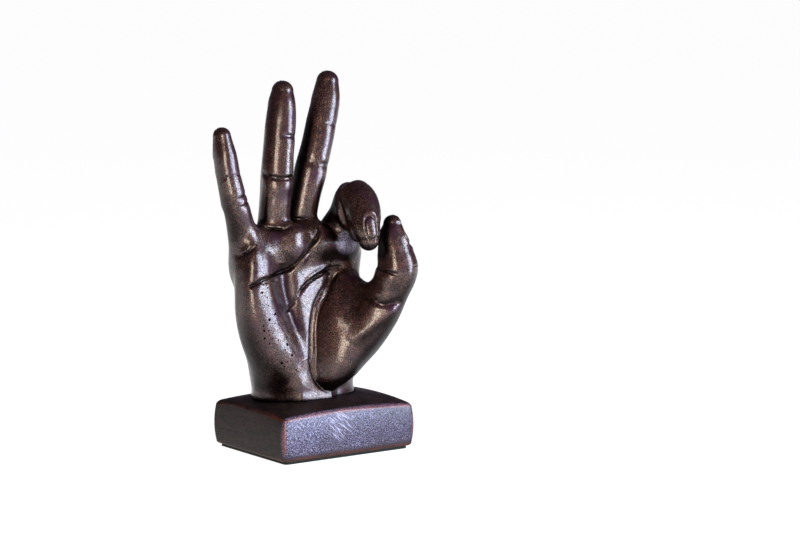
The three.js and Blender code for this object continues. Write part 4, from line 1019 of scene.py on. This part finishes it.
def makeFeltCloth():
    # dyed wool felt: matted fibres with no gloss, only a faint sheen from the fibre ends
    s, tones = feltLook, tonesOf(feltLook)
    material, tree, vector = newMaterial("dark wool felt")
    fibres = add(tree, "TexNoise", {"Vector": vector, "Scale": 1 / s["fibre"], "Detail": 4,
                                    "Roughness": 0.7})
    clumps = add(tree, "TexNoise", {"Vector": vector, "Scale": 1 / s["clump"], "Detail": 2})
    clumps = add(tree, "MapRange", {0: clumps, **s["clumps"]})
    shade = add(tree, "Math", {0: fibres, 1: clumps}, operation="MULTIPLY")
    colour = add(tree, "Mix", {0: shade, 6: tones["dark"], 7: tones["light"]}, 2, data_type="RGBA")
    normal = add(tree, "Bump", {"Height": fibres, "Distance": s["height"] * mm, "Strength": 1})
    shader = add(tree, "BsdfPrincipled", {
        "Base Color": colour, "Roughness": s["roughness"], "Sheen Weight": s["sheen"],
        "Normal": normal})
    add(tree, "OutputMaterial", {"Surface": shader})
    return material


zincLook = {
    "colours": {"dark": "#8d9096", "light": "#b4b6b9"},
    "bloom": 2.2, "markPitch": 0.17, "markLength": 5, "markHeight": 0.02,
    "roughness": {1: 0.3, 2: 0.7, 3: 0.28, 4: 0.45},
}


def makeZinc():
    # turned steel, zinc plated: a grey metal with a cloudy bloom and turning marks round its axis
    s, tones = zincLook, tonesOf(zincLook)
    material, tree, vector = newMaterial("zinc-plated turned steel")
    bloom = add(tree, "TexNoise", {"Vector": vector, "Scale": 1 / s["bloom"], "Detail": 3})
    along, across = 1 / s["markLength"], 1 / s["markPitch"]
    lathe = add(tree, "VectorMath", {0: vector, 1: (along, along, across)}, operation="MULTIPLY")
    marks = add(tree, "TexNoise", {"Vector": lathe, "Scale": 1, "Detail": 2})
    colour = add(tree, "Mix", {0: bloom, 6: tones["dark"], 7: tones["light"]}, 2, data_type="RGBA")
    rough = add(tree, "MapRange", {0: bloom, **s["roughness"]})
    normal = add(tree, "Bump", {"Height": marks, "Distance": s["markHeight"] * mm, "Strength": 1})
    shader = add(tree, "BsdfPrincipled", {
        "Base Color": colour, "Metallic": 1, "Roughness": rough, "Normal": normal})
    add(tree, "OutputMaterial", {"Surface": shader})
    return material


hand.data.materials.append(makeBronze())
block.data.materials.append(makeSatin())
felt.data.materials.append(makeFeltCloth())
zinc = makeZinc()
for name in ("stud", "washer", "hex_nut", "locating_pin"):
    fixing = bpy.data.objects[name].data
    fixing.materials.clear()
    fixing.materials.append(zinc)
print("materials made")


# Light: brightness is the lamp's own, as it would be seen in a mirror
lightSet = {
    "window": {"azimuth": 36, "elevation": 12, "distance": 0.8, "size": (0.33, 0.54),
               "brightness": 16, "colour": (0.71, 0.82, 1.0)},
    "front": {"azimuth": -31, "elevation": 8, "distance": 0.8, "size": (0.3, 0.48),
              "brightness": 10.5, "colour": (1.0, 0.88, 0.72)},
}
lightTarget = Vector((0, 0, 0.1))


def makeLights():
    # each lamp stands off from the target by its distance, and its power is the brightness times pi
    # times its area
    for name, s in lightSet.items():
        a, e = math.radians(s["azimuth"]), math.radians(s["elevation"])
        back = Vector((math.sin(a) * math.cos(e), -math.cos(a) * math.cos(e), math.sin(e)))
        lamp = bpy.data.lights.new(name, "AREA")
        lamp.shape = "RECTANGLE"
        lamp.size, lamp.size_y = s["size"]
        lamp.energy = s["brightness"] * math.pi * s["size"][0] * s["size"][1]
        lamp.color = s["colour"]
        holder = bpy.data.objects.new(name, lamp)
        holder.location = lightTarget + back * s["distance"]
        holder.rotation_euler = (-back).to_track_quat("-Z", "Y").to_euler()
        holder.visible_camera = False
        bpy.context.scene.collection.objects.link(holder)


roomSet = {"world": (0.085, 0.07, 0.095, 1), "floorSize": 40, "paper": (0.4, 0.4, 0.4, 1), "white": 0.95}


def makeSurroundings():
    # a dim room, and white paper under the block: it shows white to the camera and in reflections,
    # and keeps the object's shadow
    world = bpy.data.worlds.new("studio")
    bpy.context.scene.world = world
    world.use_nodes = True
    world.node_tree.nodes["Background"].inputs["Color"].default_value = roomSet["world"]
    bpy.ops.mesh.primitive_plane_add(size=roomSet["floorSize"])
    floor = bpy.context.object
    floor.name = "floor"
    material, tree, _ = newMaterial("white paper floor")
    path = add(tree, "LightPath").node.outputs
    seen = add(tree, "Math", {0: path["Is Camera Ray"], 1: path["Is Glossy Ray"]}, operation="MAXIMUM")
    seen = add(tree, "Math", {0: seen, 1: path["Is Transmission Ray"]}, operation="MAXIMUM")
    strength = add(tree, "Math", {0: seen, 1: roomSet["white"]}, operation="MULTIPLY")
    paper = add(tree, "BsdfDiffuse", {"Color": roomSet["paper"]})
    glow = add(tree, "Emission", {"Strength": strength})
    both = add(tree, "AddShader", {0: paper, 1: glow})
    add(tree, "OutputMaterial", {"Surface": both})
    floor.data.materials.append(material)


makeLights()
makeSurroundings()
bpy.context.scene.view_settings.view_transform = "Standard"
print("lights and floor ready")
